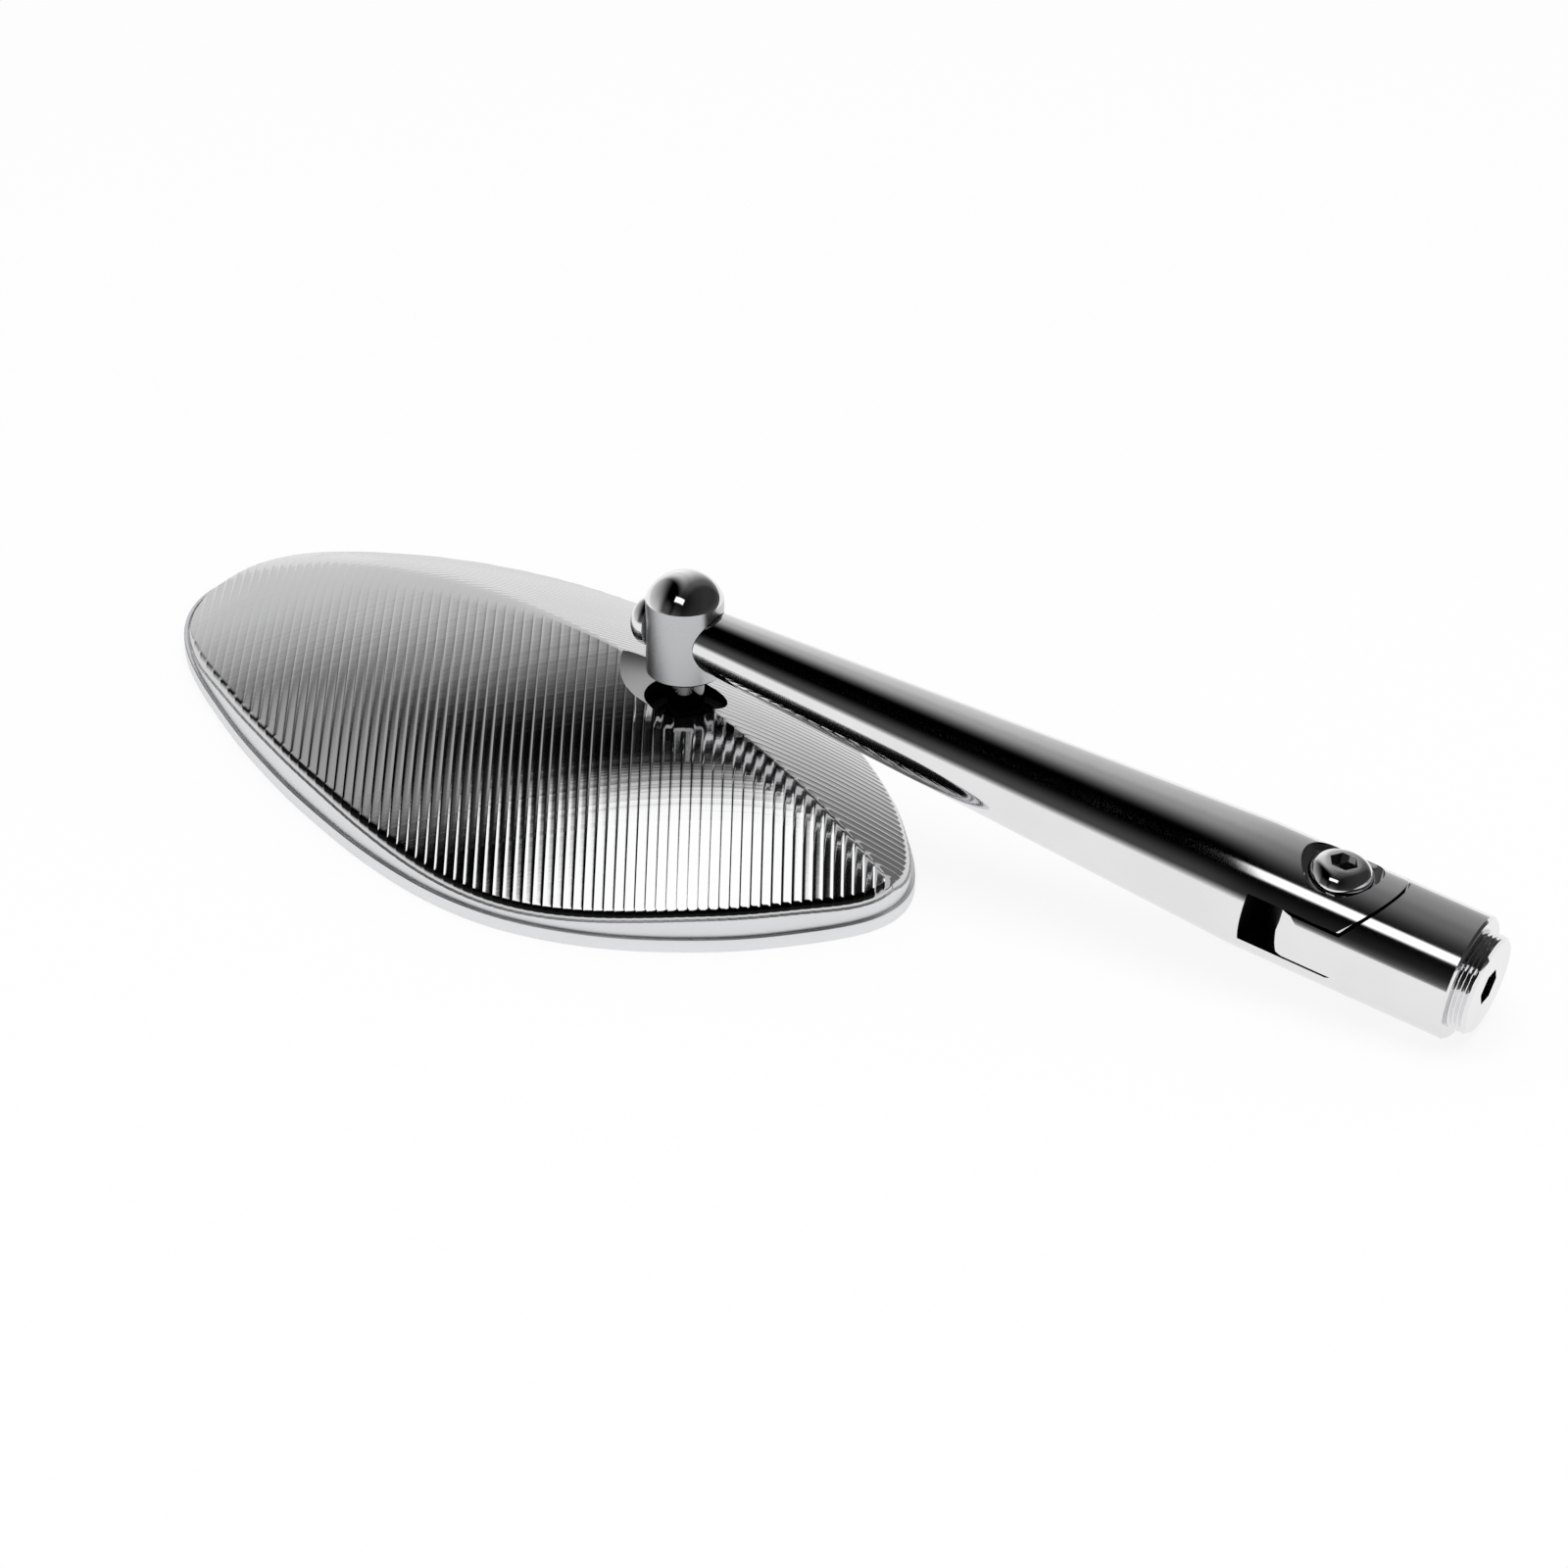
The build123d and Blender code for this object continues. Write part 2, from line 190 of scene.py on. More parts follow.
class NodePen:
    """Writes one material's node tree."""

    def __init__(self, name: str) -> None:
        """Start an empty material.

        Args:
            name: Name of the material.
        """
        self.material = bpy.data.materials.new(name)
        self.material.use_nodes = True
        self.tree = self.material.node_tree
        self.tree.nodes.clear()

    def add(self, kind: str, inputs: dict[str, Any] | None = None, **settings: Any) -> bpy.types.Node:
        """Add a node.

        Args:
            kind: Blender's node type.
            inputs: Socket names, with a constant or another node's output for each.
            **settings: Properties of the node itself.

        Returns:
            The new node.
        """
        node = self.tree.nodes.new(kind)
        for key, value in settings.items():
            setattr(node, key, value)
        for socket, value in (inputs or {}).items():
            if isinstance(value, bpy.types.NodeSocket):
                self.tree.links.new(value, node.inputs[socket])
            else:
                node.inputs[socket].default_value = value
        return node

    def spread(self, value: bpy.types.NodeSocket, low: float, high: float) -> bpy.types.NodeSocket:
        """Spread a texture's middle range between two numbers.

        Args:
            value: The texture's output, about 0.3 to 0.7.
            low: Result at 0.3.
            high: Result at 0.7.

        Returns:
            The spread value.
        """
        spread = self.add(
            "ShaderNodeMapRange",
            {"Value": value, "From Min": 0.3, "From Max": 0.7, "To Min": low, "To Max": high},
        )
        return spread.outputs["Result"]

    def shades(
        self, value: bpy.types.NodeSocket, low: Triple, high: Triple, span: tuple[float, float]
    ) -> bpy.types.NodeSocket:
        """Two colours mixed by a texture.

        Args:
            value: The texture's output.
            low: Colour at the span's first number and below.
            high: Colour at its second and above.
            span: Two numbers of the texture.

        Returns:
            The colour output.
        """
        stops = self.add("ShaderNodeValToRGB", {"Fac": value})
        for stop, color, position in zip(stops.color_ramp.elements, (low, high), span):
            stop.color = (*color, 1.0)
            stop.position = position
        return stops.outputs["Color"]

    def close(self, shader: bpy.types.Node) -> bpy.types.Material:
        """Join the shader to the output.

        Args:
            shader: The last shader node.

        Returns:
            The finished material.
        """
        self.add("ShaderNodeOutputMaterial", {"Surface": shader.outputs[0]})
        return self.material


@dataclass(frozen=True)
class MetalFinish:
    """A polished or satin metal with faint clouding and fine tool lines.

    Attributes:
        name: Name of the material.
        grey: Reflectance, red, green and blue.
        roughness: Lowest and highest roughness of the clouding.
        line_mm: Spacing of the tool lines.
        line_depth: Strength of the lines' bump, 0 for none.
        turn_deg: Turn of the lines' direction from X, about X, Y and Z.
        line_height: Height of the lines at full strength.
        line_pace: How fast the lines' noise runs along them, where 1 is as fast as across.
        cloud_scale: Clouds in a metre.
        cloud_shade: Share of the grey that is left in a cloud.
    """

    name: str
    grey: Triple
    roughness: tuple[float, float]
    line_mm: float = 0.3
    line_depth: float = 0.0
    turn_deg: Triple = (0.0, 0.0, 0.0)
    line_height: float = 0.02
    line_pace: float = 0.01
    cloud_scale: float = 60.0
    cloud_shade: float = 0.95

    def build(self) -> bpy.types.Material:
        """Make the material.

        Returns:
            A metal whose colour and roughness vary with a noise in the piece's own coordinates.
        """
        pen = NodePen(self.name)
        coords = pen.add("ShaderNodeTexCoord").outputs["Object"]
        cloud = pen.add("ShaderNodeTexNoise", {"Vector": coords, "Scale": self.cloud_scale, "Detail": 4.0})
        haze = cloud.outputs["Fac"]
        dark = tuple(self.cloud_shade * c for c in self.grey)
        shader = pen.add(
            "ShaderNodeBsdfPrincipled",
            {
                "Base Color": pen.shades(haze, dark, self.grey, (0.35, 0.65)),
                "Metallic": 1.0,
                "Roughness": pen.spread(haze, *self.roughness),
            },
        )
        if self.line_depth > 0:
            pen.tree.links.new(self.lines(pen, coords), shader.inputs["Normal"])
        return pen.close(shader)

    def lines(self, pen: NodePen, coords: bpy.types.NodeSocket) -> bpy.types.NodeSocket:
        """Tool lines: a noise drawn out into lines square to the turned X, as a bump.

        Args:
            pen: The material's pen.
            coords: The piece's own coordinates.

        Returns:
            The bumped normal.
        """
        turn = tuple(math.radians(a) for a in self.turn_deg)
        turned = pen.add("ShaderNodeMapping", {"Vector": coords, "Rotation": turn}).outputs["Vector"]
        pace = (1.0, self.line_pace, self.line_pace)
        drawn = pen.add("ShaderNodeMapping", {"Vector": turned, "Scale": pace}).outputs["Vector"]
        fineness = 1.0 / (self.line_mm * MM)
        wave = pen.add("ShaderNodeTexNoise", {"Vector": drawn, "Scale": fineness, "Detail": 2.0})
        bump = pen.add(
            "ShaderNodeBump",
            {"Height": wave.outputs["Fac"], "Strength": self.line_depth, "Distance": self.line_height * MM},
        )
        return bump.outputs["Normal"]


@dataclass(frozen=True)
class PlainFinish:
    """A finish with a fine grain: nylon, foam or bronze.

    Attributes:
        name: Name of the material.
        color: Middle colour.
        roughness: Roughness.
        metallic: 1 for a metal.
        grain_scale: Grains in a metre.
        grain_shade: Darkest and lightest share of the colour.
    """

    name: str
    color: Triple
    roughness: float
    metallic: float = 0.0
    grain_scale: float = 900.0
    grain_shade: tuple[float, float] = (0.8, 1.2)

    def build(self) -> bpy.types.Material:
        """Make the material.

        Returns:
            A shader whose colour is grained by a noise.
        """
        pen = NodePen(self.name)
        coords = pen.add("ShaderNodeTexCoord").outputs["Object"]
        grain = pen.add("ShaderNodeTexNoise", {"Vector": coords, "Scale": self.grain_scale, "Detail": 3.0})
        dark, light = (tuple(min(1.0, share * c) for c in self.color) for share in self.grain_shade)
        shader = pen.add(
            "ShaderNodeBsdfPrincipled",
            {
                "Base Color": pen.shades(grain.outputs["Fac"], dark, light, (0.0, 1.0)),
                "Roughness": self.roughness,
                "Metallic": self.metallic,
            },
        )
        return pen.close(shader)


CHROME = MetalFinish("chrome", (0.80, 0.80, 0.81), (0.035, 0.06))
TURNED = MetalFinish("turned_chrome", (0.80, 0.80, 0.81), (0.06, 0.09), 0.25, 0.05, (0.0, -9.6, 0.0))
RIBBED = MetalFinish("ribbed_metal", (0.60, 0.60, 0.605), (0.06, 0.10), 1.2, 0.7, (0.0, 0.0, -118.5))
SATIN = MetalFinish("satin_metal", (0.40, 0.40, 0.405), (0.16, 0.20), 0.2, 0.08, (0.0, 0.0, 30.0))
RIM = MetalFinish("brushed_rim", (0.84, 0.845, 0.86), (0.42, 0.50), 0.3, 0.10)
BRUSHED = MetalFinish("brushed_post", (0.56, 0.565, 0.575), (0.24, 0.30), 0.2, 0.06, (0.0, 90.0, 0.0))
# Chrome darkened as painted shade: the ball stud's neck stands in the socket's dark mouth
SHADE_DARKENED_CHROME = MetalFinish("chrome_darkened_as_shade", (0.22, 0.22, 0.22), (0.08, 0.12))
# Near-black metal as painted shade, for hollows where the shade falls: the socket's mouth and the inside of
# the fork's slot
PAINTED_SHADE_METAL = MetalFinish("painted_shade_metal", (0.03, 0.03, 0.03), (0.4, 0.5))
# Black nylon darkened near to black: partly the plastic's own colour, partly painted shade where the upper
# seat fills the socket's dark mouth
NYLON_DARKENED_AS_SHADE = PlainFinish("black_nylon_darkened_as_shade", (0.008, 0.008, 0.008), 0.7)
FOAM = PlainFinish("black_foam", (0.03, 0.03, 0.03), 0.9)
BRONZE = PlainFinish("bronze", (0.55, 0.36, 0.16), 0.35, 1.0)
STEEL = MetalFinish("steel", (0.62, 0.62, 0.64), (0.2, 0.3))
SILVERED = MetalFinish("silvered_glass", (0.93, 0.94, 0.94), (0.015, 0.02))


@dataclass(frozen=True)
class Facet:
    """One ribbed side of the head.

    Ribs lie in upright planes square to the facet's own axis, on circles about it. Rib number n stands n
    pitches from the middle of the mouth, and between two whole numbers is a groove.

    Attributes:
        axis_across: Place of the circles' axis across the facet.
        axis_z: Height of the axis.
        along_deg: Plan direction of the axis, from X.
        side: 1 if ribs count up along the axis, -1 if down.
    """

    axis_across: float
    axis_z: float
    along_deg: float
    side: int

    @property
    def along(self) -> Array:
        """Plan direction of the circles' axis.

        Returns:
            X and Y, at length one.
        """
        angle = math.radians(self.along_deg)
        return np.array([math.cos(angle), math.sin(angle)])

    @property
    def across(self) -> Array:
        """Plan direction along the ribs, towards the ridge.

        Returns:
            X and Y, at length one.
        """
        angle = math.radians(self.along_deg)
        return np.array([-math.sin(angle), math.cos(angle)])


@dataclass
class EdgeRound:
    """The round over which the ribbed skin drops to the rim.

    Attributes:
        middle: A point inside the outline.
        angle: Directions from the middle to the outline.
        reach: Distance of the outline in each of them.
        slant: Share of that distance that is square to the outline.
        size: Radius of the round there.
    """

    middle: Array
    angle: Array
    reach: Array
    slant: Array
    size: Array

    @classmethod
    def along(cls, edge: Array, size: Array) -> "EdgeRound":
        """A round along an outline.

        Args:
            edge: Points of the outline, counter-clockwise.
            size: Radius of the round at each of them.

        Returns:
            The round.
        """
        middle = edge.mean(axis=0)
        arm = edge - middle
        reach = np.linalg.norm(arm, axis=-1)
        tangent = unit(np.roll(edge, -1, axis=0) - np.roll(edge, 1, axis=0))
        slant = (arm[:, 0] * tangent[:, 1] - arm[:, 1] * tangent[:, 0]) / reach
        return cls(middle, np.arctan2(arm[:, 1], arm[:, 0]), reach, slant, size)

    def drop(self, plan: Array) -> Array:
        """How far the skin falls: a quarter circle that starts one radius inside the outline.

        Args:
            plan: Points, last axis X and Y.

        Returns:
            The radius less the root of its square less the square of the way past the start.
        """
        arm = plan - self.middle
        angle = np.arctan2(arm[..., 1], arm[..., 0])
        reach, slant, size = (
            np.interp(angle, self.angle, values, period=2 * np.pi)
            for values in (self.reach, self.slant, self.size)
        )
        inside = np.maximum((reach - np.linalg.norm(arm, axis=-1)) * slant, 0)
        past = np.maximum(size - inside, 0)
        return size - np.sqrt(np.maximum(size**2 - past**2, 0))


@dataclass
class RibbedHead:
    """The leaf-shaped head: two ribbed facets, rim, and the dish and mouth of the ball socket.

    The spine is the ridge's line in plan, through the middle of the mouth. Both facets' ribs stand at 45
    degrees to it.

    Attributes:
        spine_deg: Plan direction of the spine, from X.
        ridge_peak: Where along the spine the ridge is highest.
        ridge_h: Height of the ridge there.
        ridge_left_r: Radius of the ridge's arc left of the peak.
        ridge_right_r: Radius of its arc right of the peak.
        peak_blend: Distance from the peak over which one arc runs into the other.
        ridge_round: Width of the ridge's round, as a difference of heights.
        ridge_round_left: What the round gains towards the left end.
        round_gains: Where along the spine it begins to gain, and where it has gained all.
        rib_pitch: Distance between two crests.
        rib_depth: Depth of the grooves.
        edge_round: Radius of the round over which the ribs drop to the rim.
        edge_rows: Close rows of the grid there.
        edge_band: Width that the close rows take up, in radii of the round.
        rim_lower_h: Height of the rim's lower band.
        rim_step: How far the upper band stands inside the lower one.
        rim_wall: Thickness of the rim round the glass.
        rim_break: Size of the rim's broken edges.
        glass_gap: Gap round the glass.
        recess_z: Height of the recess for the glass.
        mouth_d: Diameter of the socket's mouth.
        mouth_floor_z: Height at which the mouth's bore ends.
        dish_r: Radius of the ball that the dish is cut with.
        dish_z: Height of the dish at the mouth.
        first_rib: Number of the leftmost rib.
        last_rib: Number of the rightmost rib.
        shortest_rib: Ribs shorter than this are left out.
        samples_per_rib: Columns of the grid for each rib.
        rows_before: Rows from the ridge to the dish.
        rows_after: Rows from the rim to the dish.
        cut_samples: Points of a rib at which the dish is looked for.
        dish_samples: Points of a ray at which the dish's edge is looked for.
        dish_rows: Rows of the dish's own grid.
        ring_samples: Points once round the mouth.
        outline_samples: Points of the outline.
        outline_waves: Highest wave of the outline's series.
        near: The facet on the camera's side.
        far: The facet behind the ridge.
    """

    spine_deg: float = -16.5
    ridge_peak: float = -18.5
    ridge_h: float = 23.5
    ridge_left_r: float = 230.0
    ridge_right_r: float = 134.0
    peak_blend: float = 16.0
    ridge_round: float = 0.3
    ridge_round_left: float = 3.3
    round_gains: tuple[float, float] = (-15.0, -95.0)
    rib_pitch: float = 1.6
    rib_depth: float = 0.065
    edge_round: float = 1.0
    edge_rows: int = 12
    edge_band: float = 1.2
    rim_lower_h: float = 2.4
    rim_step: float = 0.6
    rim_wall: float = 1.8
    rim_break: float = 0.3
    glass_gap: float = 0.2
    recess_z: float = 3.0
    mouth_d: float = 13.3
    mouth_floor_z: float = 17.42
    dish_r: float = 38.0
    dish_z: float = 21.0
    first_rib: int = -64
    last_rib: int = 30
    shortest_rib: float = 0.02
    samples_per_rib: int = 10
    rows_before: int = 16
    rows_after: int = 36
    cut_samples: int = 801
    dish_samples: int = 600
    dish_rows: int = 12
    ring_samples: int = 721
    outline_samples: int = 3600
    outline_waves: int = 20
    near: Facet = Facet(47.0, -176.0, 28.5, 1)
    far: Facet = Facet(60.0, -134.0, 118.5, -1)

    def glass_ring(self) -> Array:
        """Corner points of the lower face of the frame's glass, in order about their middle.

        Returns:
            Points x 2, counter-clockwise.
        """
        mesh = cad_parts["mirror_glass"].data
        points = np.zeros(len(mesh.vertices) * 3, np.float32)
        mesh.vertices.foreach_get("co", points)
        points = points.reshape(-1, 3).astype(float) / MM
        ring = np.unique(np.round(points[np.abs(points[:, 2]) < 0.01, :2], 4), axis=0)
        arm = ring - ring.mean(axis=0)
        return ring[np.argsort(np.arctan2(arm[:, 1], arm[:, 0]))]

    def outline(self, inset: float) -> Array:
        """Closed outline of the head in plan, drawn in by an inset.

        The glass has the head's outline drawn in by the rim's wall and the gap round the glass. Its
        corner points are joined by a smooth closed curve (a Fourier series in the share of the way
        round), whose points are then moved square to it.

        Args:
            inset: Distance inside the head's outer edge.

        Returns:
            Samples x 2, counter-clockwise, first point not repeated.
        """
        ring = self.glass_ring()
        closed = np.vstack([ring, ring[:1]])
        share = np.concatenate([[0.0], np.cumsum(np.linalg.norm(np.diff(closed, axis=0), axis=1))])
        share /= share[-1]
        count = 1024
        even = np.arange(count) / count
        curve = np.interp(even, share, closed[:, 0]) + 1j * np.interp(even, share, closed[:, 1])
        order = np.fft.fftfreq(count, 1 / count)
        low = np.abs(order) <= self.outline_waves
        series = np.fft.fft(curve)[low] / count
        speed = 2j * np.pi * order[low]
        way = np.arange(self.outline_samples) / self.outline_samples
        wave = np.exp(np.outer(way, speed))
        along = wave @ (series * speed)
        outward = -1j * along / np.abs(along)
        moved = wave @ series + outward * (self.rim_wall + self.glass_gap - inset)
        return np.stack([moved.real, moved.imag], axis=-1)

    def ridge_z(self, s: Array) -> Array:
        """Height of the ridge, two arcs that meet at its peak and run into each other there.

        Args:
            s: Distance along the spine.

        Returns:
            Heights.
        """
        past = s - self.ridge_peak
        left, right = (
            self.ridge_h - r + np.sqrt(np.maximum(r**2 - past**2, 0))
            for r in (self.ridge_left_r, self.ridge_right_r)
        )
        return left + ramp(past, -self.peak_blend, self.peak_blend) * (right - left)

    def rib_radius(self, facet: Facet, n: Array) -> Array:
        """Radius of the circle that rib number n follows.

        A groove is broad between two sharp crests: one less the fourth power of the distance from its
        middle, where a crest is at distance one.

        Args:
            facet: The facet.
            n: Rib numbers, whole on a crest.

        Returns:
            Radii about the facet's axis.
        """
        groove = 1 - (2 * (n - np.floor(n)) - 1) ** 4
        height = self.ridge_z(n * self.rib_pitch * math.sqrt(2)) - self.rib_depth * groove
        return np.hypot(height - facet.axis_z, n * self.rib_pitch + facet.axis_across)

    def facet_height(self, facet: Facet, plan: Array) -> Array:
        """Height of a facet, drawn on past the ridge.

        Args:
            facet: The facet.
            plan: Points, last axis X and Y.

        Returns:
            Heights.
        """
        n = facet.side * (plan @ facet.along) / self.rib_pitch
        offset = plan @ facet.across - facet.axis_across
        square = self.rib_radius(facet, n) ** 2 - offset**2
        return facet.axis_z + np.sqrt(np.maximum(square, 0))

    def rounded(self, own: Array, other: Array, plan: Array) -> Array:
        """Height near the ridge, where the two facets run into each other.

        The lower of the two heights, less a quarter of the round's width times the square of the share
        of that width by which the heights are closer than it. The round is wider at the left end.

        Args:
            own: Heights of the facet itself.
            other: Heights of the other facet, drawn on past the ridge.
            plan: Points, last axis X and Y.

        Returns:
            Heights.
        """
        angle = math.radians(self.spine_deg)
        s = plan @ np.array([math.cos(angle), math.sin(angle)])
        width = self.ridge_round + self.ridge_round_left * ramp(s, *self.round_gains)
        share = np.maximum(width - np.abs(own - other), 0) / width
        return np.minimum(own, other) - width / 4 * share**2

    def height(self, plan: Array) -> Array:
        """Height of the ribbed skin over points in plan.

        Args:
            plan: Points, last axis X and Y.

        Returns:
            Heights on the facet of that side of the spine.
        """
        angle = math.radians(self.spine_deg)
        far_side = plan @ np.array([-math.sin(angle), math.cos(angle)]) > 0
        near, far = (self.facet_height(facet, plan) for facet in (self.near, self.far))
        return self.rounded(np.where(far_side, far, near), np.where(far_side, near, far), plan)

    @cached_property
    def edge(self) -> Array:
        """The outline that the ribbed skin ends on.

        Returns:
            Samples x 2, counter-clockwise.
        """
        return self.outline(self.rim_step + self.rim_break)

    @cached_property
    def roll(self) -> EdgeRound:
        """The round at the rim, smaller where the skin is low.

        Returns:
            The round along the skin's outline.
        """
        room = self.height(self.edge) - self.rim_lower_h - self.rim_break
        return EdgeRound.along(self.edge, np.clip(room, self.rim_break, self.edge_round))

    def dish_height(self, plan: Array) -> Array:
        """Height of the dish round the mouth, the lower half of a ball.

        Args:
            plan: Points, last axis X and Y.

        Returns:
            Heights, and the ball's middle height for points outside it.
        """
        middle = self.dish_z + math.sqrt(self.dish_r**2 - (self.mouth_d / 2) ** 2)
        return middle - np.sqrt(np.maximum(self.dish_r**2 - (plan**2).sum(axis=-1), 0))

    def rib_points(self, facet: Facet, n: Array, t: Array) -> Array:
        """Points on the ribs of a facet.

        Args:
            facet: The facet.
            n: Rib numbers, one for each column.
            t: Distances from the ridge, rows x columns.

        Returns:
            Rows x columns x 3.
        """
        across = -n * self.rib_pitch - t
        plan = (facet.side * n * self.rib_pitch)[:, None] * facet.along + across[..., None] * facet.across
        radius = self.rib_radius(facet, n)
        own = facet.axis_z + np.sqrt(radius**2 - (across - facet.axis_across) ** 2)
        other = self.facet_height(self.far if facet is self.near else self.near, plan)
        z = self.rounded(own, other, plan) - self.roll.drop(plan)
        return np.concatenate([plan, z[..., None]], axis=-1)

    def reach(self, facet: Facet, n: Array) -> tuple[Array, Array]:
        """Where each rib, drawn on in plan, enters and leaves the outline.

        Args:
            facet: The facet.
            n: Rib numbers.

        Returns:
            Distances from the ridge, infinite for a rib that misses the outline.
        """
        ends = np.stack([self.edge, np.roll(self.edge, -1, axis=0)])
        gap = (ends @ facet.along)[:, None, :] - (facet.side * n * self.rib_pitch)[None, :, None]
        crossing = gap[0] * gap[1] <= 0
        share = gap[0] / np.where(crossing, gap[0] - gap[1], 1.0)
        across = ends @ facet.across
        t = -(across[0] + share * (across[1] - across[0])) - (n * self.rib_pitch)[:, None]
        return np.where(crossing, t, np.inf).min(axis=1), np.where(crossing, t, -np.inf).max(axis=1)

    def cut(self, facet: Facet, n: Array, low: Array, high: Array) -> tuple[Array, Array]:
        """The stretch of each rib that the dish and the mouth take away.

        A point is cut by the larger of its height over the dish and its depth inside the mouth's
        circle. The ends of the stretch are where that number passes zero along the rib. A rib that is
        not cut gets an empty stretch where it comes nearest to the mouth, away from its own ends.

        Args:
            facet: The facet.
            n: Rib numbers.
            low: Where each rib starts.
            high: Where it ends.

        Returns:
            Distances from the ridge of the stretch's two ends.
        """
        t = low + np.linspace(0, 1, self.cut_samples)[:, None] * (high - low)
        points = self.rib_points(facet, n, t)
        plan = points[..., :2]
        over = np.maximum(
            points[..., 2] - self.dish_height(plan), self.mouth_d / 2 - np.linalg.norm(plan, axis=-1)
        )
        column = np.arange(len(n))
        inside = over > 0
        first = inside.argmax(axis=0)
        last = len(t) - 1 - inside[::-1].argmax(axis=0)
        before, after = np.maximum(first - 1, 0), np.minimum(last + 1, len(t) - 1)
        ends = []
        for kept, gone in ((before, first), (after, last)):
            fall = over[kept, column] - over[gone, column]
            share = np.where(kept == gone, 0.0, over[kept, column] / np.where(fall == 0, 1.0, fall))
            ends.append(t[kept, column] + share * (t[gone, column] - t[kept, column]))
        quarter = (high - low) / 4
        nearest = np.clip(-n * self.rib_pitch, low + quarter, high - quarter)
        whole = ~inside.any(axis=0)
        return np.where(whole, nearest, ends[0]), np.where(whole, nearest, ends[1])

    def facet_patches(self, facet: Facet) -> list[Patch]:
        """One facet as two grids, before and after the dish.

        Columns are ribs, in some steps each. Along a column, t is the distance from the ridge. It starts
        at the ridge or where the rib enters the outline, stops where it leaves it, and leaves out what
        the dish and the mouth take away. Rows stand closer at the ridge and at the rim, by a sine.

        Args:
            facet: The facet.

        Returns:
            The grid next to the ridge and the grid next to the rim.
        """
        steps = self.samples_per_rib
        n = np.arange(self.first_rib * steps, self.last_rib * steps + 1) / steps
        enter, leave = self.reach(facet, n)
        low = np.maximum(enter, 0)
        keep = low < leave - self.shortest_rib
        n, low, high = n[keep], low[keep], leave[keep]
        cut_from, cut_to = self.cut(facet, n, low, high)
        close = 1 - np.sin(np.linspace(0, np.pi / 2, self.edge_rows))[::-1, None]
        patches = []
        for fine, coarse, rows in ((low, cut_from, self.rows_before), (high, cut_to, self.rows_after)):
            way = coarse - fine
            band = np.sign(way) * np.minimum(self.edge_band * self.edge_round, np.abs(way) / 2)
            close_rows = fine + close * band
            wide_rows = fine + band + np.linspace(0, 1, rows)[1:, None] * (way - band)
            t = np.concatenate([close_rows, wide_rows])
            patches.append(Patch(self.rib_points(facet, n, t), np.array(Z)))
        return patches

    def rim_patch(self) -> Patch:
        """The rim, a profile carried along the outline.

        The profile runs from the glass recess, under the edge and up the lower band, in by the step and
        up to the ribbed skin, whose height sets the last two points at every place on the outline.

        Returns:
            One closed strip.
        """
        top = self.height(self.edge) - self.roll.size
        low = np.zeros_like(top)
        b = self.rim_break
        bow = 0.3 * b
        profile = [
            (self.rim_wall, low + self.recess_z),
            (self.rim_wall, low),
            (b, low),
            (bow, low + bow),
            (0.0, low + b),
            (0.0, low + self.rim_lower_h - b / 2),
            (b / 2, low + self.rim_lower_h),
            (self.rim_step, low + self.rim_lower_h),
            (self.rim_step, top - b),
            (self.rim_step + b, top),
        ]
        strip = np.stack([np.column_stack([self.outline(inset), z]) for inset, z in profile])
        strip = np.concatenate([strip, strip[:, :1]], axis=1)
        outward = strip[:-1, :-1] - strip.mean(axis=(0, 1))
        recess_wall, underside, step_top = 0, 1, 6
        outward[[recess_wall, underside, step_top]] = 0
        return Patch(strip, outward)

    def dish_patch(self) -> Patch:
        """The dish in polar coordinates, from the mouth out to where the ribs drop below it.

        Returns:
            One closed ring.
        """
        ray = self.rays()
        reach = np.linspace(self.mouth_d / 2, self.dish_r / 2, self.dish_samples)
        plan = reach[:, None, None] * ray
        over = self.height(plan) - self.dish_height(plan)
        column = np.arange(len(ray))
        first = (over <= 0).argmax(axis=0)
        before = np.maximum(first - 1, 0)
        fall = over[before, column] - over[first, column]
        share = np.where(first == 0, 0.0, over[before, column] / np.where(fall == 0, 1.0, fall))
        edge = reach[before] + share * (reach[first] - reach[before])
        share = np.linspace(0, 1, self.dish_rows)[:, None]
        radius = self.mouth_d / 2 + share * (edge - self.mouth_d / 2)
        face = radius[..., None] * ray
        points = np.concatenate([face, self.dish_height(face)[..., None]], axis=-1)
        return Patch(points, np.array(Z))

    def mouth_patch(self) -> Patch:
        """The mouth's bore, up to the dish or to the ribs where they are lower.

        Returns:
            One closed strip.
        """
        ray = self.rays()
        ring = ray * self.mouth_d / 2
        top = np.minimum(self.height(ring), self.dish_z)
        low = np.full_like(top, self.mouth_floor_z)
        strip = np.stack([np.column_stack([ring, low]), np.column_stack([ring, top])])
        return Patch(strip, np.concatenate([-ray, np.zeros((len(ray), 1))], axis=-1)[None, :-1])

    def rays(self) -> Array:
        """Plan directions once round the mouth.

        Returns:
            Samples x 2, the first repeated at the end.
        """
        angle = np.linspace(0, 2 * np.pi, self.ring_samples)
        return np.stack([np.cos(angle), np.sin(angle)], axis=-1)

    def build(self) -> list[bpy.types.Object]:
        """Make the head's pieces and let them stand for its solid.

        Returns:
            The pieces.
        """
        ribs = self.facet_patches(self.near) + self.facet_patches(self.far)
        pieces = []
        for name, patches, finish, sharp_deg in (
            ("head_ribs", ribs, RIBBED, 15),
            ("head_rim", [self.rim_patch()], RIM, 30),
            ("head_dish", [self.dish_patch()], SATIN, 30),
            # The mouth's bore is painted near-black as shade
            ("head_mouth", [self.mouth_patch()], PAINTED_SHADE_METAL, 30),
        ):
            piece = piece_from_patches(name, patches, sharp_deg)
            place(piece, Body.HEAD, finish.build())
            pieces.append(piece)
        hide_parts("mirror_head")
        return pieces


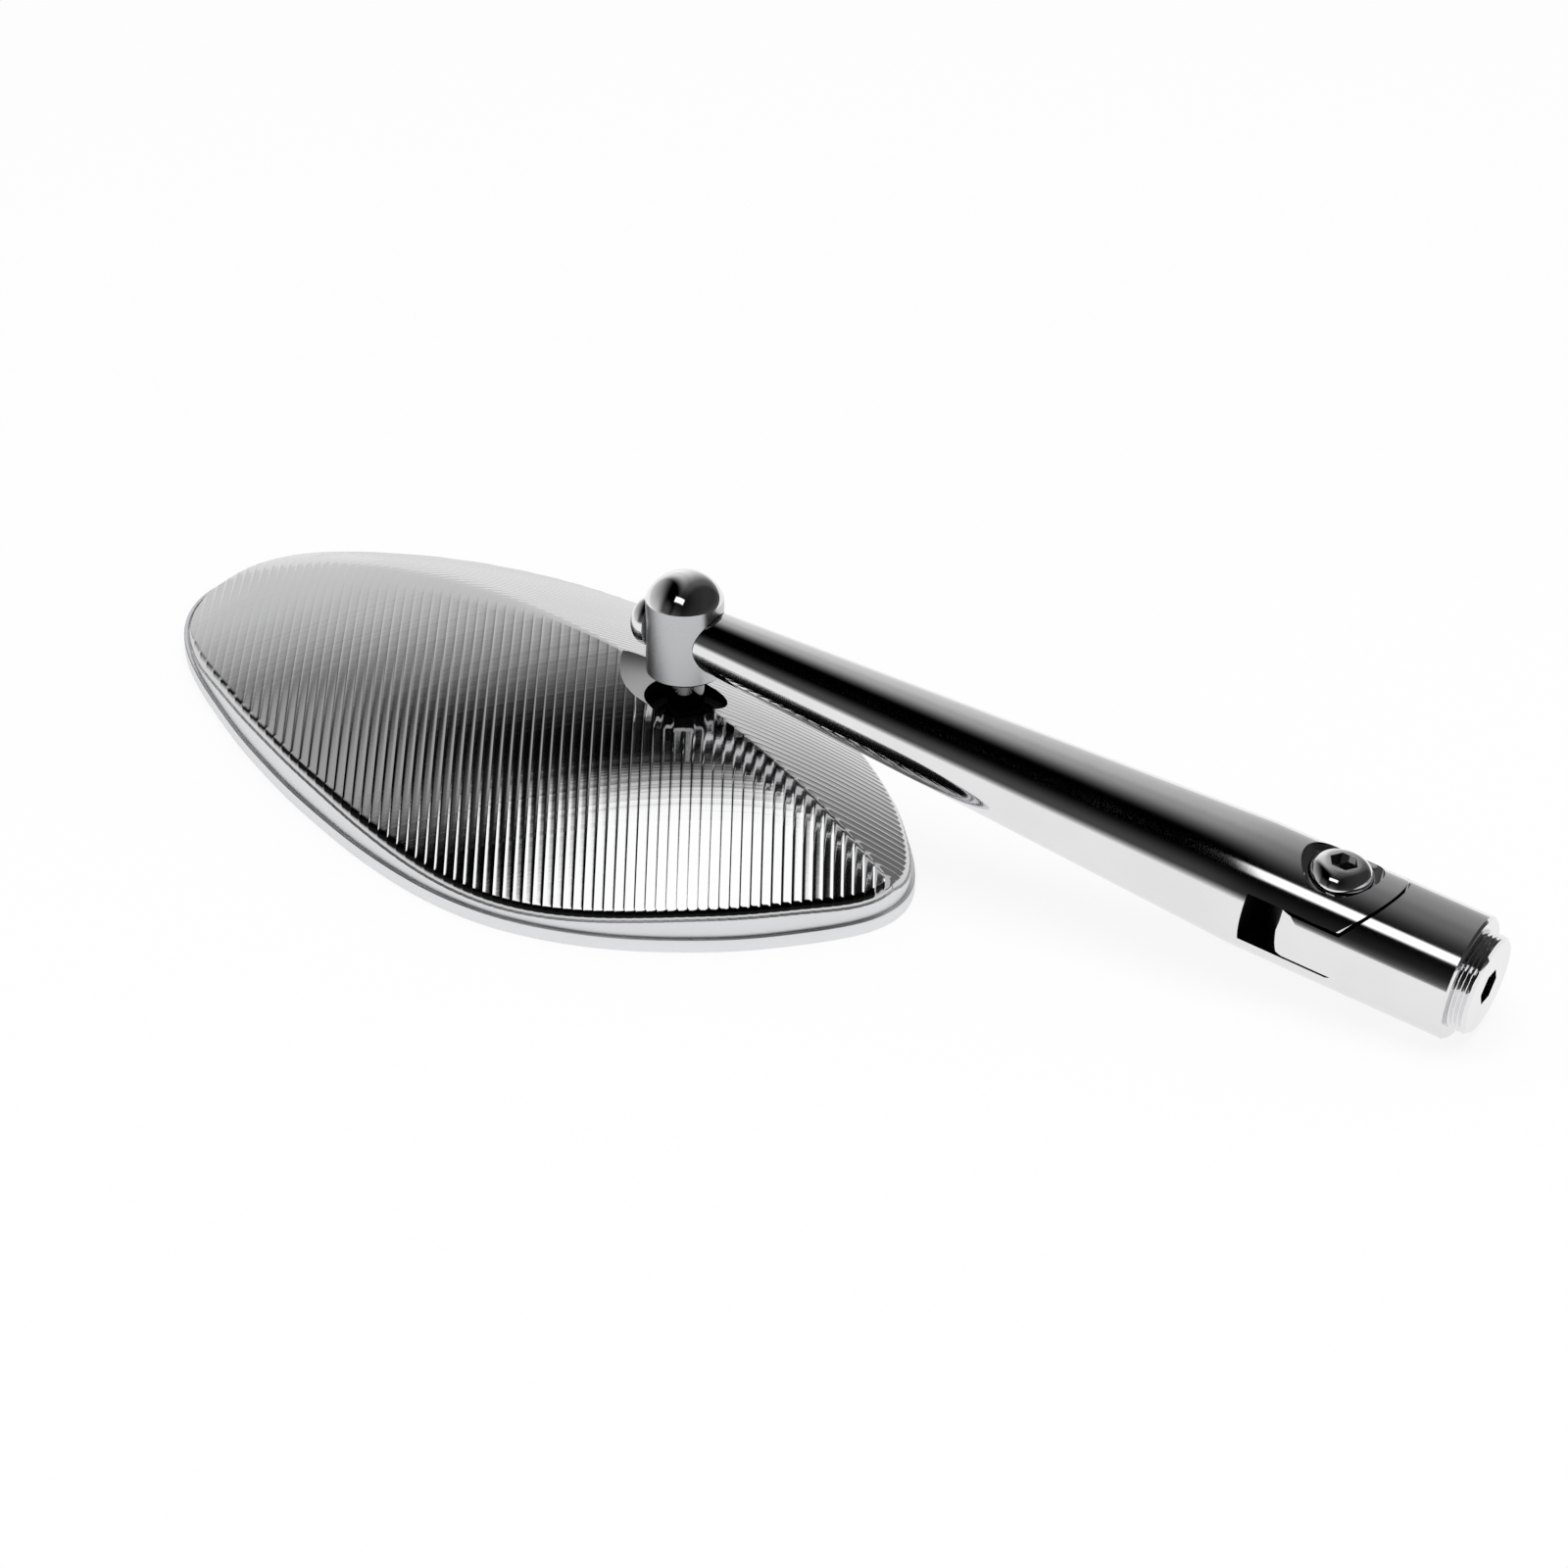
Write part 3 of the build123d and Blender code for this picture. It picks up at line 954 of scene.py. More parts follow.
@dataclass(frozen=True)
class RoundFace:
    """A cylinder, cone or ball that some faces of a solid lie on.

    Attributes:
        origin: A point on the axis, or the ball's middle, in millimetres.
        axis: Direction of the axis, or None for a ball.
        radius: Radius at the origin, or None for any cylinder about the axis.
        growth: Change of radius per millimetre along the axis.
        tilt: Lean of the normals, as a growth, if it isn't the growth itself.
        fade: Where along the axis the lean starts to fade out and where it is gone.
        ball_off: How far off the ball its corners may lie.
        cone_off: How far off the cone its corners may lie.
        round_off: How far the corners of one triangle may differ in radius.
        lean_off: How far the normal of a triangle on a cylinder may lean along the axis.
        facing: Least agreement of a triangle's own normal and the true ones.
    """

    origin: Triple
    axis: Triple | None
    radius: float | None = None
    growth: float = 0.0
    tilt: float | None = None
    fade: tuple[float, float] | None = None
    ball_off: float = 0.03
    cone_off: float = 0.12
    round_off: float = 0.02
    lean_off: float = 0.02
    facing: float = 0.9

    def normals(self, corners: Array, flat: Array) -> tuple[Array, NDArray[np.bool_]]:
        """True normals at the corners of the triangles that lie on this face.

        Args:
            corners: Triangles x 3 x 3.
            flat: The triangles' own normals.

        Returns:
            A normal for each corner, and which triangles they hold for.
        """
        arm = corners - np.array(self.origin)
        if self.axis is None:
            distance = np.linalg.norm(arm, axis=-1)
            on = np.abs(distance - self.radius).max(axis=1) < self.ball_off
            normal = unit(arm)
        else:
            axis = np.array(self.axis)
            along = arm @ axis
            spoke = arm - along[..., None] * axis
            distance = np.linalg.norm(spoke, axis=-1)
            if self.radius is None:
                on = np.ptp(distance, axis=1) < self.round_off
                on &= np.abs(flat @ axis) < self.lean_off
            else:
                on = np.abs(distance - self.radius - self.growth * along).max(axis=1) < self.cone_off
            lean = np.full_like(along, self.growth if self.tilt is None else self.tilt)
            if self.fade is not None:
                lean = lean * (1 - ramp(along, *self.fade))
            normal = unit(unit(spoke) - lean[..., None] * axis)
        agree = np.einsum("tcx,tx->tc", normal, flat)
        normal = normal * np.sign(agree)[..., None]
        return normal, on & (np.abs(agree).min(axis=1) > self.facing)


@dataclass(frozen=True)
class Zone:
    """A part of a piece with a material of its own: a finish of the real part, or painted shade.

    Attributes:
        finish: The finish.
        origin: A point, in millimetres.
        spans: Directions, each with the least and greatest distance from the origin along it.
    """

    finish: MetalFinish
    origin: Triple
    spans: tuple[tuple[Triple, float, float], ...]

    def holds(self, corners: Array) -> NDArray[np.bool_]:
        """Which triangles lie in the zone with all their corners.

        Args:
            corners: Triangles x 3 x 3.

        Returns:
            One answer for each triangle.
        """
        inside = np.ones(len(corners), bool)
        for direction, low, high in self.spans:
            distance = (corners - np.array(self.origin)) @ np.array(direction)
            inside &= (distance.min(axis=1) > low) & (distance.max(axis=1) < high)
        return inside


@dataclass
class CadCopy:
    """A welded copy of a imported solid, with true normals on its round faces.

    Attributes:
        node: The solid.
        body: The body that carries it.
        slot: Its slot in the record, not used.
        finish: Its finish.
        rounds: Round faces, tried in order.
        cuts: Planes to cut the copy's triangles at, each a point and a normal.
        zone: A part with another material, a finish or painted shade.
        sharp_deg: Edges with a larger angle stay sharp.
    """

    node: str
    body: Body
    slot: Slot
    finish: MetalFinish | PlainFinish
    rounds: tuple[RoundFace, ...] = ()
    cuts: tuple[tuple[Array, Array], ...] = ()
    zone: Zone | None = None
    sharp_deg: float = 25.0

    def triangles(self) -> tuple[Array, NDArray[np.int32]]:
        """The solid's triangles with their corners welded, cut at the planes.

        Returns:
            Points in metres, and three point numbers for each triangle.
        """
        copy = bmesh.new()
        copy.from_mesh(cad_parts[self.node].data)
        bmesh.ops.remove_doubles(copy, verts=copy.verts, dist=SAME_POINT * MM)
        for point, normal in self.cuts:
            geometry = copy.verts[:] + copy.edges[:] + copy.faces[:]
            bmesh.ops.bisect_plane(copy, geom=geometry, plane_co=point * MM, plane_no=normal)
        bmesh.ops.triangulate(copy, faces=copy.faces)
        scratch = bpy.data.meshes.new("scratch")
        copy.to_mesh(scratch)
        copy.free()
        points = np.zeros(len(scratch.vertices) * 3, np.float32)
        scratch.vertices.foreach_get("co", points)
        corners = np.zeros(len(scratch.loops), np.int32)
        scratch.loops.foreach_get("vertex_index", corners)
        bpy.data.meshes.remove(scratch)
        return points.reshape(-1, 3).astype(float), corners.reshape(-1, 3)

    def build(self) -> None:
        """Make the copy and let it stand for its solid."""
        points, tris = self.triangles()
        mesh = bpy.data.meshes.new(self.node + "_skin")
        mesh.from_pydata(points, [], tris)
        mesh.shade_smooth()
        mesh.set_sharp_from_angle(angle=math.radians(self.sharp_deg))
        corners = points[tris] / MM
        if self.rounds:
            flat = unit(np.cross(corners[:, 1] - corners[:, 0], corners[:, 2] - corners[:, 0]))
            normals = np.repeat(flat[:, None], 3, axis=1)
            left = np.ones(len(tris), bool)
            for face in self.rounds:
                true, on = face.normals(corners, flat)
                normals[on & left] = true[on & left]
                left &= ~on
            mesh.normals_split_custom_set(normals.reshape(-1, 3))
        piece = bpy.data.objects.new(self.node + "_skin", mesh)
        bpy.context.scene.collection.objects.link(piece)
        place(piece, self.body, self.finish.build())
        if self.zone is not None:
            mesh.materials.append(self.zone.finish.build())
            mesh.polygons.foreach_set("material_index", self.zone.holds(corners).astype(np.int32))
        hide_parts(self.node)


@dataclass
class Stem:
    """The stem with its post, hinge and screws.

    Its axis starts at the post and falls to the stud, with the barrel on the floor.

    Attributes:
        slope_deg: Fall of the axis.
        barrel_d: Diameter of the barrel.
        small_d: Diameter of the cone on the post's axis.
        cone_length: Where along the axis the cone has the barrel's diameter.
        pivot_x: Where along the axis the fold hinge is.
        reach: Length of the axis.
        post_d: Diameter of the post.
        post_shoulder_z: Height at which the post's dome begins.
        post_dome_h: Height of the dome.
        crease_blend: Distance over which the light on cone and barrel runs together.
        crease_cuts: Places at which the triangles are cut for that.
        slot_half: Half the width of the fork's slot, inside which the metal is painted dark as shade.
        slot_end: Where along the axis the slot ends.
        ball_z: Height of the ball's middle.
        ball_d: Diameter of the ball.
    """

    slope_deg: float = 9.6
    barrel_d: float = 20.0
    small_d: float = 9.2
    cone_length: float = 101.5
    pivot_x: float = 114.5
    reach: float = 138.0
    post_d: float = 12.5
    post_shoulder_z: float = 38.4
    post_dome_h: float = 4.4
    crease_blend: float = 8.0
    crease_cuts: int = 9
    slot_half: float = 4.22
    slot_end: float = 103.85
    ball_z: float = 13.8
    ball_d: float = 10.0

    @property
    def along(self) -> Array:
        """Direction of the stem, from the post to the stud.

        Returns:
            X, Y and Z, at length one.
        """
        angle = math.radians(self.slope_deg)
        return np.array([math.cos(angle), 0.0, -math.sin(angle)])

    @property
    def up(self) -> Array:
        """Direction of the fold hinge's pin.

        Returns:
            X, Y and Z, at length one.
        """
        angle = math.radians(self.slope_deg)
        return np.array([math.sin(angle), 0.0, math.cos(angle)])

    @property
    def start(self) -> Array:
        """Where the stem's axis meets the post's.

        Returns:
            X, Y and Z.
        """
        angle = math.radians(self.slope_deg)
        height = self.barrel_d / 2 * math.cos(angle) + self.reach * math.sin(angle)
        return np.array([0.0, 0.0, height])

    def stem_faces(self) -> tuple[tuple[RoundFace, ...], tuple[tuple[Array, Array], ...]]:
        """Cone and barrel, whose normals run into each other at the crease between them.

        Returns:
            The two faces, and the planes near the crease at which their triangles are cut.
        """
        origin, axis = tuple(self.start), tuple(self.along)
        growth = (self.barrel_d - self.small_d) / 2 / self.cone_length
        fade = (self.cone_length - self.crease_blend, self.cone_length + self.crease_blend)
        cone = RoundFace(origin, axis, self.small_d / 2, growth, growth, fade)
        barrel = RoundFace(origin, axis, self.barrel_d / 2, 0.0, growth, fade)
        stations = np.linspace(*fade, self.crease_cuts)
        cuts = tuple((self.start + self.along * x, self.along) for x in stations if x != self.cone_length)
        return (cone, barrel), cuts

    def build(self) -> None:
        """Make the visible pieces."""
        start, along, up = tuple(self.start), tuple(self.along), tuple(self.up)
        about_stem = RoundFace(start, along)
        about_pivot = RoundFace(tuple(self.start + self.along * self.pivot_x), up)
        about_post = RoundFace((0.0, 0.0, 0.0), Z)
        about_screw = RoundFace(start, X)
        dome_r = ((self.post_d / 2) ** 2 + self.post_dome_h**2) / (2 * self.post_dome_h)
        dome = RoundFace((0.0, 0.0, self.post_shoulder_z + self.post_dome_h - dome_r), None, dome_r)
        ball = RoundFace((0.0, 0.0, self.ball_z), None, self.ball_d / 2)
        stem_faces, cuts = self.stem_faces()
        arm_rounds = (*stem_faces, about_stem, about_pivot, about_post, about_screw)
        # The inside of the fork's slot, its cheeks and end wall, is painted near-black as shade
        slot = Zone(
            PAINTED_SHADE_METAL, start, ((along, self.slot_end, self.reach), (up, -self.slot_half, self.slot_half))
        )
        just_under = -0.01
        crown = Zone(CHROME, (0.0, 0.0, self.post_shoulder_z), ((Z, just_under, self.post_d),))
        post_rounds = (about_post, about_screw, dome)
        CadCopy("stem_arm", Body.ARM, Slot.STEM_METAL, TURNED, arm_rounds, cuts, slot).build()
        CadCopy("stem_base", Body.BASE, Slot.STEM_METAL, TURNED, (about_stem, about_pivot)).build()
        CadCopy("post", Body.ARM, Slot.STEM_METAL, BRUSHED, post_rounds, (), crown).build()
        CadCopy("pivot_screw", Body.ARM, Slot.SCREW_STEEL, CHROME).build()
        CadCopy("post_screw", Body.ARM, Slot.SCREW_STEEL, CHROME).build()
        # The ball stud is chrome; its dark grey is painted shade, for the neck that stands in the socket's
        # dark mouth
        CadCopy("ball_stud", Body.ARM, Slot.SCREW_STEEL, SHADE_DARKENED_CHROME, (about_post, ball)).build()


@dataclass
class ThreadedStud:
    """The stud in the stem's end: a fine thread, a broken edge and a hexagon socket.

    Attributes:
        radius: Radius of the thread's crest.
        out: How far the stud stands out of the barrel.
        pitch: Pitch of the thread.
        depth: Depth of the thread.
        socket_af: Hexagon's width across flats.
        socket_depth: Depth of the hexagon.
        edge_break: Size of the broken edge.
        columns: Points once round.
        rows: Points along the thread.
    """

    radius: float = 8.0
    out: float = 3.0
    pitch: float = 0.75
    depth: float = 0.4
    socket_af: float = 5.0
    socket_depth: float = 5.0
    edge_break: float = 0.4
    columns: int = 181
    rows: int = 61

    def build(self, stem: Stem) -> None:
        """Make the stud and let it stand for its solid.

        The thread is a grid of the angle round the stud and the way along it. Its radius falls from the
        crest by a triangle wave of the way less the angle's share of a pitch.

        Args:
            stem: The stem that carries it.
        """
        angle = np.linspace(0, 2 * np.pi, self.columns)
        way = np.linspace(0, self.out - self.edge_break, self.rows)
        phase = way[:, None] / self.pitch - angle / (2 * np.pi)
        fall = np.abs(2 * (phase - np.floor(phase)) - 1)
        radius = self.radius - self.depth * fall
        thread = self.around(stem, angle, radius, np.repeat(way[:, None], len(angle), axis=1))
        hexagon = self.socket_af / 2 / np.cos((angle + np.pi / 6) % (np.pi / 3) - np.pi / 6)
        break_r = self.radius - self.edge_break - self.depth / 2
        rim = np.stack([radius[-1], np.full_like(angle, break_r), hexagon])
        ends = np.stack([np.full_like(angle, x) for x in (way[-1], self.out, self.out)])
        face = self.around(stem, angle, rim, ends)
        bottom = self.out - self.socket_depth
        sides = np.stack([hexagon, hexagon, 0 * hexagon])
        depths = np.stack([np.full_like(angle, x) for x in (self.out, bottom, bottom)])
        hole = self.around(stem, angle, sides, depths)
        spoke = thread[:-1, :-1] - (stem.start + stem.along * stem.reach)
        spoke -= (spoke @ stem.along)[..., None] * stem.along
        patches = [Patch(thread, spoke), Patch(face, stem.along), Patch(hole, stem.along)]
        piece = piece_from_patches("mount_stud_thread", patches, 30)
        place(piece, Body.BASE, CHROME.build())
        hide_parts("mount_stud")

    @staticmethod
    def around(stem: Stem, angle: Array, radius: Array, way: Array) -> Array:
        """Points about the stem's axis, past its end.

        Args:
            stem: The stem.
            angle: Angles, one for each column.
            radius: Radii, rows x columns.
            way: Distances past the stem's end, rows x columns.

        Returns:
            Rows x columns x 3.
        """
        spoke = np.cos(angle)[:, None] * stem.up + np.sin(angle)[:, None] * np.array(Y)
        return stem.start + (stem.reach + way)[..., None] * stem.along + radius[..., None] * spoke


@dataclass
class PlainNodes:
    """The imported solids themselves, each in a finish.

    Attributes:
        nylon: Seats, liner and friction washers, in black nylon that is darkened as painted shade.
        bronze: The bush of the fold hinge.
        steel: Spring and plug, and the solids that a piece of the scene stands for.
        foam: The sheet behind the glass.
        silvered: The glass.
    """

    nylon: tuple[str, ...] = (
        "ball_liner",
        "upper_seat",
        "lower_seat",
        "upper_friction_washer",
        "lower_friction_washer",
    )
    bronze: tuple[str, ...] = ("pivot_bush",)
    steel: tuple[str, ...] = (
        "disc_spring",
        "retaining_plug",
        "mirror_head",
        "stem_arm",
        "stem_base",
        "post",
        "pivot_screw",
        "post_screw",
        "ball_stud",
        "mount_stud",
    )
    foam: tuple[str, ...] = ("glass_pad",)
    silvered: tuple[str, ...] = ("mirror_glass",)

    def build(self) -> None:
        """Dress every solid."""
        for finish, names in (
            (NYLON_DARKENED_AS_SHADE, self.nylon),
            (BRONZE, self.bronze),
            (STEEL, self.steel),
            (FOAM, self.foam),
            (SILVERED, self.silvered),
        ):
            material = finish.build()
            for name in names:
                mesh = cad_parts[name].data
                mesh.materials.clear()
                mesh.materials.append(material)


@dataclass(frozen=True)
class Fade:
    """A soft edge among directions: a smooth step of a number that each direction has.

    Attributes:
        along: The number is the direction's product with this vector.
        start: Number at which the step begins, at 0.
        end: Number at which it ends, at 1.
        left: Share of X that is added to the number left of the middle, where X is below 0.
    """

    along: Triple
    start: float
    end: float
    left: float = 0.0

    def of(self, way: Array) -> Array:
        """The step in each direction.

        Args:
            way: Unit directions, last axis 3.

        Returns:
            Numbers from 0 to 1.
        """
        number = way @ np.array(self.along) + self.left * np.minimum(way[..., 0], 0)
        return ramp(number, self.start, self.end)


@dataclass(frozen=True)
class Shade:
    """A dimmer region among directions: one less a share of the product of its fades.

    Attributes:
        share: Light that is lost where all fades are at 1.
        fades: The region's soft edges.
    """

    share: float
    fades: tuple[Fade, ...]

    def of(self, way: Array) -> Array:
        """Light that is left in each direction.

        Args:
            way: Unit directions, last axis 3.

        Returns:
            Numbers from 0 to 1.
        """
        return 1 - self.share * np.prod([fade.of(way) for fade in self.fades], axis=0)


@dataclass(frozen=True)
class Panel:
    """A sheet of light among directions: its strength times all its edges and shades.

    Attributes:
        strength: Brightness, where 1 is white.
        edges: Soft edges that bound it and shades that dim it.
    """

    strength: float
    edges: tuple[Fade | Shade, ...]

    def glow(self, way: Array) -> Array:
        """Brightness in each direction.

        Args:
            way: Unit directions, last axis 3.

        Returns:
            The panel's brightness there.
        """
        return self.strength * np.prod([edge.of(way) for edge in self.edges], axis=0)


@dataclass(frozen=True)
class Surround:
    """A studio as metal shows it: in each direction the brightest of its walls, plus its boxes.

    Attributes:
        walls: Walls, each of panels that add up.
        boxes: Panels that shine on top of the walls.
    """

    walls: tuple[tuple[Panel, ...], ...]
    boxes: tuple[Panel, ...] = ()

    def glow(self, way: Array) -> Array:
        """Brightness in each direction.

        Args:
            way: Unit directions, last axis 3.

        Returns:
            Brightness, where 1 is white.
        """
        walls = [sum(panel.glow(way) for panel in wall) for wall in self.walls]
        return np.max(walls, axis=0) + sum(box.glow(way) for box in self.boxes)


# The camera's side is dark, with a pale foot at the floor, for all pieces
FRONT = Fade(Y, 0.3, 0.0)
FOOT = Panel(0.25, (Fade(Z, 0.10, 0.0), FRONT))

# For all but the head: a pale wall behind and to the left that darkens upward and to the right, a bright
# wall low on the left, a grey front that is paler on the left, and a soft box above
UP_RIGHT = Shade(0.90, (Fade(X, -0.73, 0.12), Fade(Z, -0.91, 0.33)))
FAR_RIGHT = Shade(0.70, (Fade(X, 0.10, 0.40),))
BACK_AND_DOWN: Triple = (0.0, 1.0, -1.17)
PALE_WALL = (
    Panel(0.91, (Fade(BACK_AND_DOWN, -1.69, -0.87, 1.73), UP_RIGHT, FAR_RIGHT)),
    Panel(0.32, (Fade(BACK_AND_DOWN, -0.87, -0.36, 1.73), UP_RIGHT, FAR_RIGHT)),
)
LEFT_WALL = Panel(1.10, (Fade(Z, 1.16, -0.73), Fade(X, -0.50, -0.875)))
LEFT_FOOT = Panel(0.45, (Fade(Z, 0.22, 0.0), Fade(X, -0.15, -0.30), FRONT))
GREY_FRONT = Panel(0.075, (Fade(Z, 0.75, 0.30), Shade(0.8, (Fade(X, -0.38, -0.15),)), FRONT))
BOX_SIDES = (Fade(X, -0.17, -0.11), Fade(X, 0.31, 0.25), Fade(Y, -0.70, -0.64), Fade(Y, -0.44, -0.50))
SOFT_BOX = Panel(1.5, BOX_SIDES)
STUDIO = Surround((PALE_WALL, (LEFT_WALL,), (FOOT, LEFT_FOOT, GREY_FRONT)), (SOFT_BOX,))

# For the head: a wall behind that dims towards the zenith and to the right, a wing on its left, a low light
# at the left end and a faint grey front
ZENITH = Shade(0.85, (Fade(Z, 0.68, 0.86),))
HEAD_RIGHT = Shade(0.75, (Fade(X, -0.25, 0.10),))
HEAD_WALL = Panel(0.85, (Fade(Y, 0.28, 0.62), ZENITH, HEAD_RIGHT))
WING = Panel(0.55, (Fade((1.0, 0.6, 0.0), -0.44, -0.60), Fade(Z, 0.30, 0.50), Fade(Y, 0.04, 0.18)))
LOW_LEFT = Panel(0.60, (Fade(Z, 0.25, 0.05), Fade(X, -0.50, -0.85)))
FAINT_FRONT = Panel(0.015, (Fade(Z, 0.75, 0.30), FRONT))
HEAD_STUDIO = Surround(((HEAD_WALL,), (WING,), (LOW_LEFT,), (FOOT, FAINT_FRONT)))

# The card over the head: a rectangle in the plan of the directions, with two slanted sides behind
CARD_SIDES = (Fade(X, -0.50, -0.39), Fade(X, 0.23, 0.16), Fade(Y, -0.45, -0.35))
CARD_BACK = (Fade((1.0, 1.0, 0.0), 0.50, 0.40), Fade((-0.492, 1.0, 0.0), 0.459, 0.325))
CARD = Panel(1.7, (*CARD_SIDES, *CARD_BACK))


@dataclass
class Studio:
    """Floor, light, the domes and the card seen in the metal, and the camera.

    The camera is that of a square picture with the given focal length in pixels. Sizes and places of the
    studio itself are in metres.

    Attributes:
        image_px: Width of the picture.
        focal_px: Focal length.
        sensor_mm: Width of the camera's sensor.
        camera_mm: Place of the camera, in millimetres.
        camera_right: Direction of the picture's rows.
        camera_down: Direction of its columns.
        floor_size: Width of the floor.
        floor_white: Reflectance of the floor.
        floor_glow: Share of plain white in the floor as it is seen.
        room_light: Strength of the even light on what isn't metal or glass.
        dome_radius: Radius of the dome that all but the head shows.
        head_dome_radius: Radius of the head's own dome.
        dome_turns: Points of a dome's grid once round.
        dome_rises: Points of its grid from the floor up.
        card_radius: Distance of the card.
        card_x: First and last X of the card's directions.
        card_y: First and last Y of the card's directions.
        card_points: Points of the card's grid, each way.
        lamp_at: Place of the lamp.
        lamp_turn: Turn of the lamp about X, Y and Z, in radians.
        lamp_size: Width of the lamp.
        lamp_power: Power of the lamp.
    """

    image_px: float = 1600.0
    focal_px: float = 5500.0
    sensor_mm: float = 36.0
    camera_mm: Triple = (385.26, -643.99, 437.73)
    camera_right: Triple = (0.8686774, 0.4953781, 0.0)
    camera_down: Triple = (0.2476891, -0.4343387, -0.8660254)
    floor_size: float = 6.0
    floor_white: float = 0.9
    floor_glow: float = 0.86
    room_light: float = 0.6
    dome_radius: float = 4.0
    head_dome_radius: float = 3.5
    dome_turns: int = 361
    dome_rises: int = 91
    card_radius: float = 3.0
    card_x: tuple[float, float] = (-0.65, 0.32)
    card_y: tuple[float, float] = (-0.46, 0.68)
    card_points: int = 81
    lamp_at: Triple = (0.3, -0.3, 1.4)
    lamp_turn: Triple = (0.2, 0.2, 0.0)
    lamp_size: float = 1.2
    lamp_power: float = 12.0

    def camera(self) -> None:
        """Stand the camera where the photograph was taken from."""
        data = bpy.data.cameras.new("camera")
        data.sensor_width = self.sensor_mm
        data.lens = self.focal_px * self.sensor_mm / self.image_px
        data.clip_end = 100.0
        right, down = Vector(self.camera_right), Vector(self.camera_down)
        back = right.cross(-down)
        turn = Matrix((right, -down, back)).transposed().to_4x4()
        camera = bpy.data.objects.new("camera", data)
        camera.matrix_world = Matrix.Translation(Vector(self.camera_mm) * MM) @ turn
        bpy.context.scene.collection.objects.link(camera)
        bpy.context.scene.camera = camera

    @staticmethod
    def seen(tree: bpy.types.NodeTree) -> bpy.types.NodeSocket:
        """1 for rays from the camera or by way of metal and glass, 0 for the rest.

        Args:
            tree: Node tree of a material or the world.

        Returns:
            The value's output.
        """
        path = tree.nodes.new("ShaderNodeLightPath")
        value = path.outputs["Is Camera Ray"]
        for ray in ("Is Glossy Ray", "Is Transmission Ray"):
            either = tree.nodes.new("ShaderNodeMath")
            either.operation = "MAXIMUM"
            tree.links.new(value, either.inputs[0])
            tree.links.new(path.outputs[ray], either.inputs[1])
            value = either.outputs[0]
        return value

    def floor(self) -> None:
        """A pale floor that keeps a faint shadow."""
        half = self.floor_size / 2
        mesh = bpy.data.meshes.new("floor")
        mesh.from_pydata(
            [(-half, -half, 0), (half, -half, 0), (half, half, 0), (-half, half, 0)], [], [(0, 1, 2, 3)]
        )
        floor = bpy.data.objects.new("floor", mesh)
        bpy.context.scene.collection.objects.link(floor)
        pen = NodePen("pale_floor")
        share = pen.add("ShaderNodeMath", operation="MULTIPLY")
        share.inputs[1].default_value = self.floor_glow
        pen.tree.links.new(self.seen(pen.tree), share.inputs[0])
        diffuse = pen.add("ShaderNodeBsdfDiffuse", {"Color": (*[self.floor_white] * 3, 1.0)})
        glow = pen.add("ShaderNodeEmission", {"Color": (1.0, 1.0, 1.0, 1.0), "Strength": 1.0})
        mix = pen.add("ShaderNodeMixShader", {"Fac": share.outputs[0]})
        pen.tree.links.new(diffuse.outputs[0], mix.inputs[1])
        pen.tree.links.new(glow.outputs[0], mix.inputs[2])
        mesh.materials.append(pen.close(mix))

    def world(self) -> None:
        """A white room for the camera and the metal, and a soft even light on the rest."""
        world = bpy.data.worlds.new("room")
        bpy.context.scene.world = world
        world.use_nodes = True
        tree = world.node_tree
        tree.nodes.clear()
        strength = tree.nodes.new("ShaderNodeMapRange")
        strength.inputs["To Min"].default_value = self.room_light
        strength.inputs["To Max"].default_value = 1.0
        tree.links.new(self.seen(tree), strength.inputs["Value"])
        light = tree.nodes.new("ShaderNodeBackground")
        light.inputs["Color"].default_value = (1.0, 1.0, 1.0, 1.0)
        tree.links.new(strength.outputs["Result"], light.inputs["Strength"])
        output = tree.nodes.new("ShaderNodeOutputWorld")
        tree.links.new(light.outputs[0], output.inputs["Surface"])

    def domes(self, ribbed: list[bpy.types.Object]) -> None:
        """The studio seen in the metal: half balls whose brightness is a formula of the direction.

        A half ball is a grid of the turn about Z and the rise from the floor. The head shows one, all
        else the other.

        Args:
            ribbed: The head's pieces.
        """
        turn = np.linspace(0, 2 * np.pi, self.dome_turns)[None, :]
        rise = np.linspace(0, np.pi / 2, self.dome_rises)[:, None]
        way = np.stack(
            [np.cos(rise) * np.cos(turn), np.cos(rise) * np.sin(turn), np.sin(rise) + 0 * turn], axis=-1
        )
        shared = self.glowing("dome", way, STUDIO.glow(way), self.dome_radius, False)
        own = self.glowing("head_dome", way, HEAD_STUDIO.glow(way), self.head_dome_radius, True)
        self.show_in(own, ribbed, "INCLUDE")
        self.show_in(shared, ribbed, "EXCLUDE")

    @staticmethod
    def show_in(sheet: bpy.types.Object, pieces: list[bpy.types.Object], state: str) -> None:
        """Say which pieces show a sheet of light.

        Args:
            sheet: The sheet.
            pieces: The pieces.
            state: INCLUDE for these pieces alone, EXCLUDE for all but these.
        """
        group = bpy.data.collections.new(sheet.name + "_shown_in")
        for piece in pieces:
            group.objects.link(piece)
        for entry in group.collection_objects:
            entry.light_linking.link_state = state
        sheet.light_linking.receiver_collection = group

    def card(self, ribbed: list[bpy.types.Object]) -> None:
        """A card over the head that only the head's metal shows, a grid of the directions' X and Y.

        Args:
            ribbed: The head's pieces.
        """
        x, y = np.meshgrid(*(np.linspace(*ends, self.card_points) for ends in (self.card_x, self.card_y)))
        way = np.stack([x, y, np.sqrt(1 - x**2 - y**2)], axis=-1)
        card = self.glowing("card", way, CARD.glow(way), self.card_radius, True)
        self.show_in(card, ribbed, "INCLUDE")

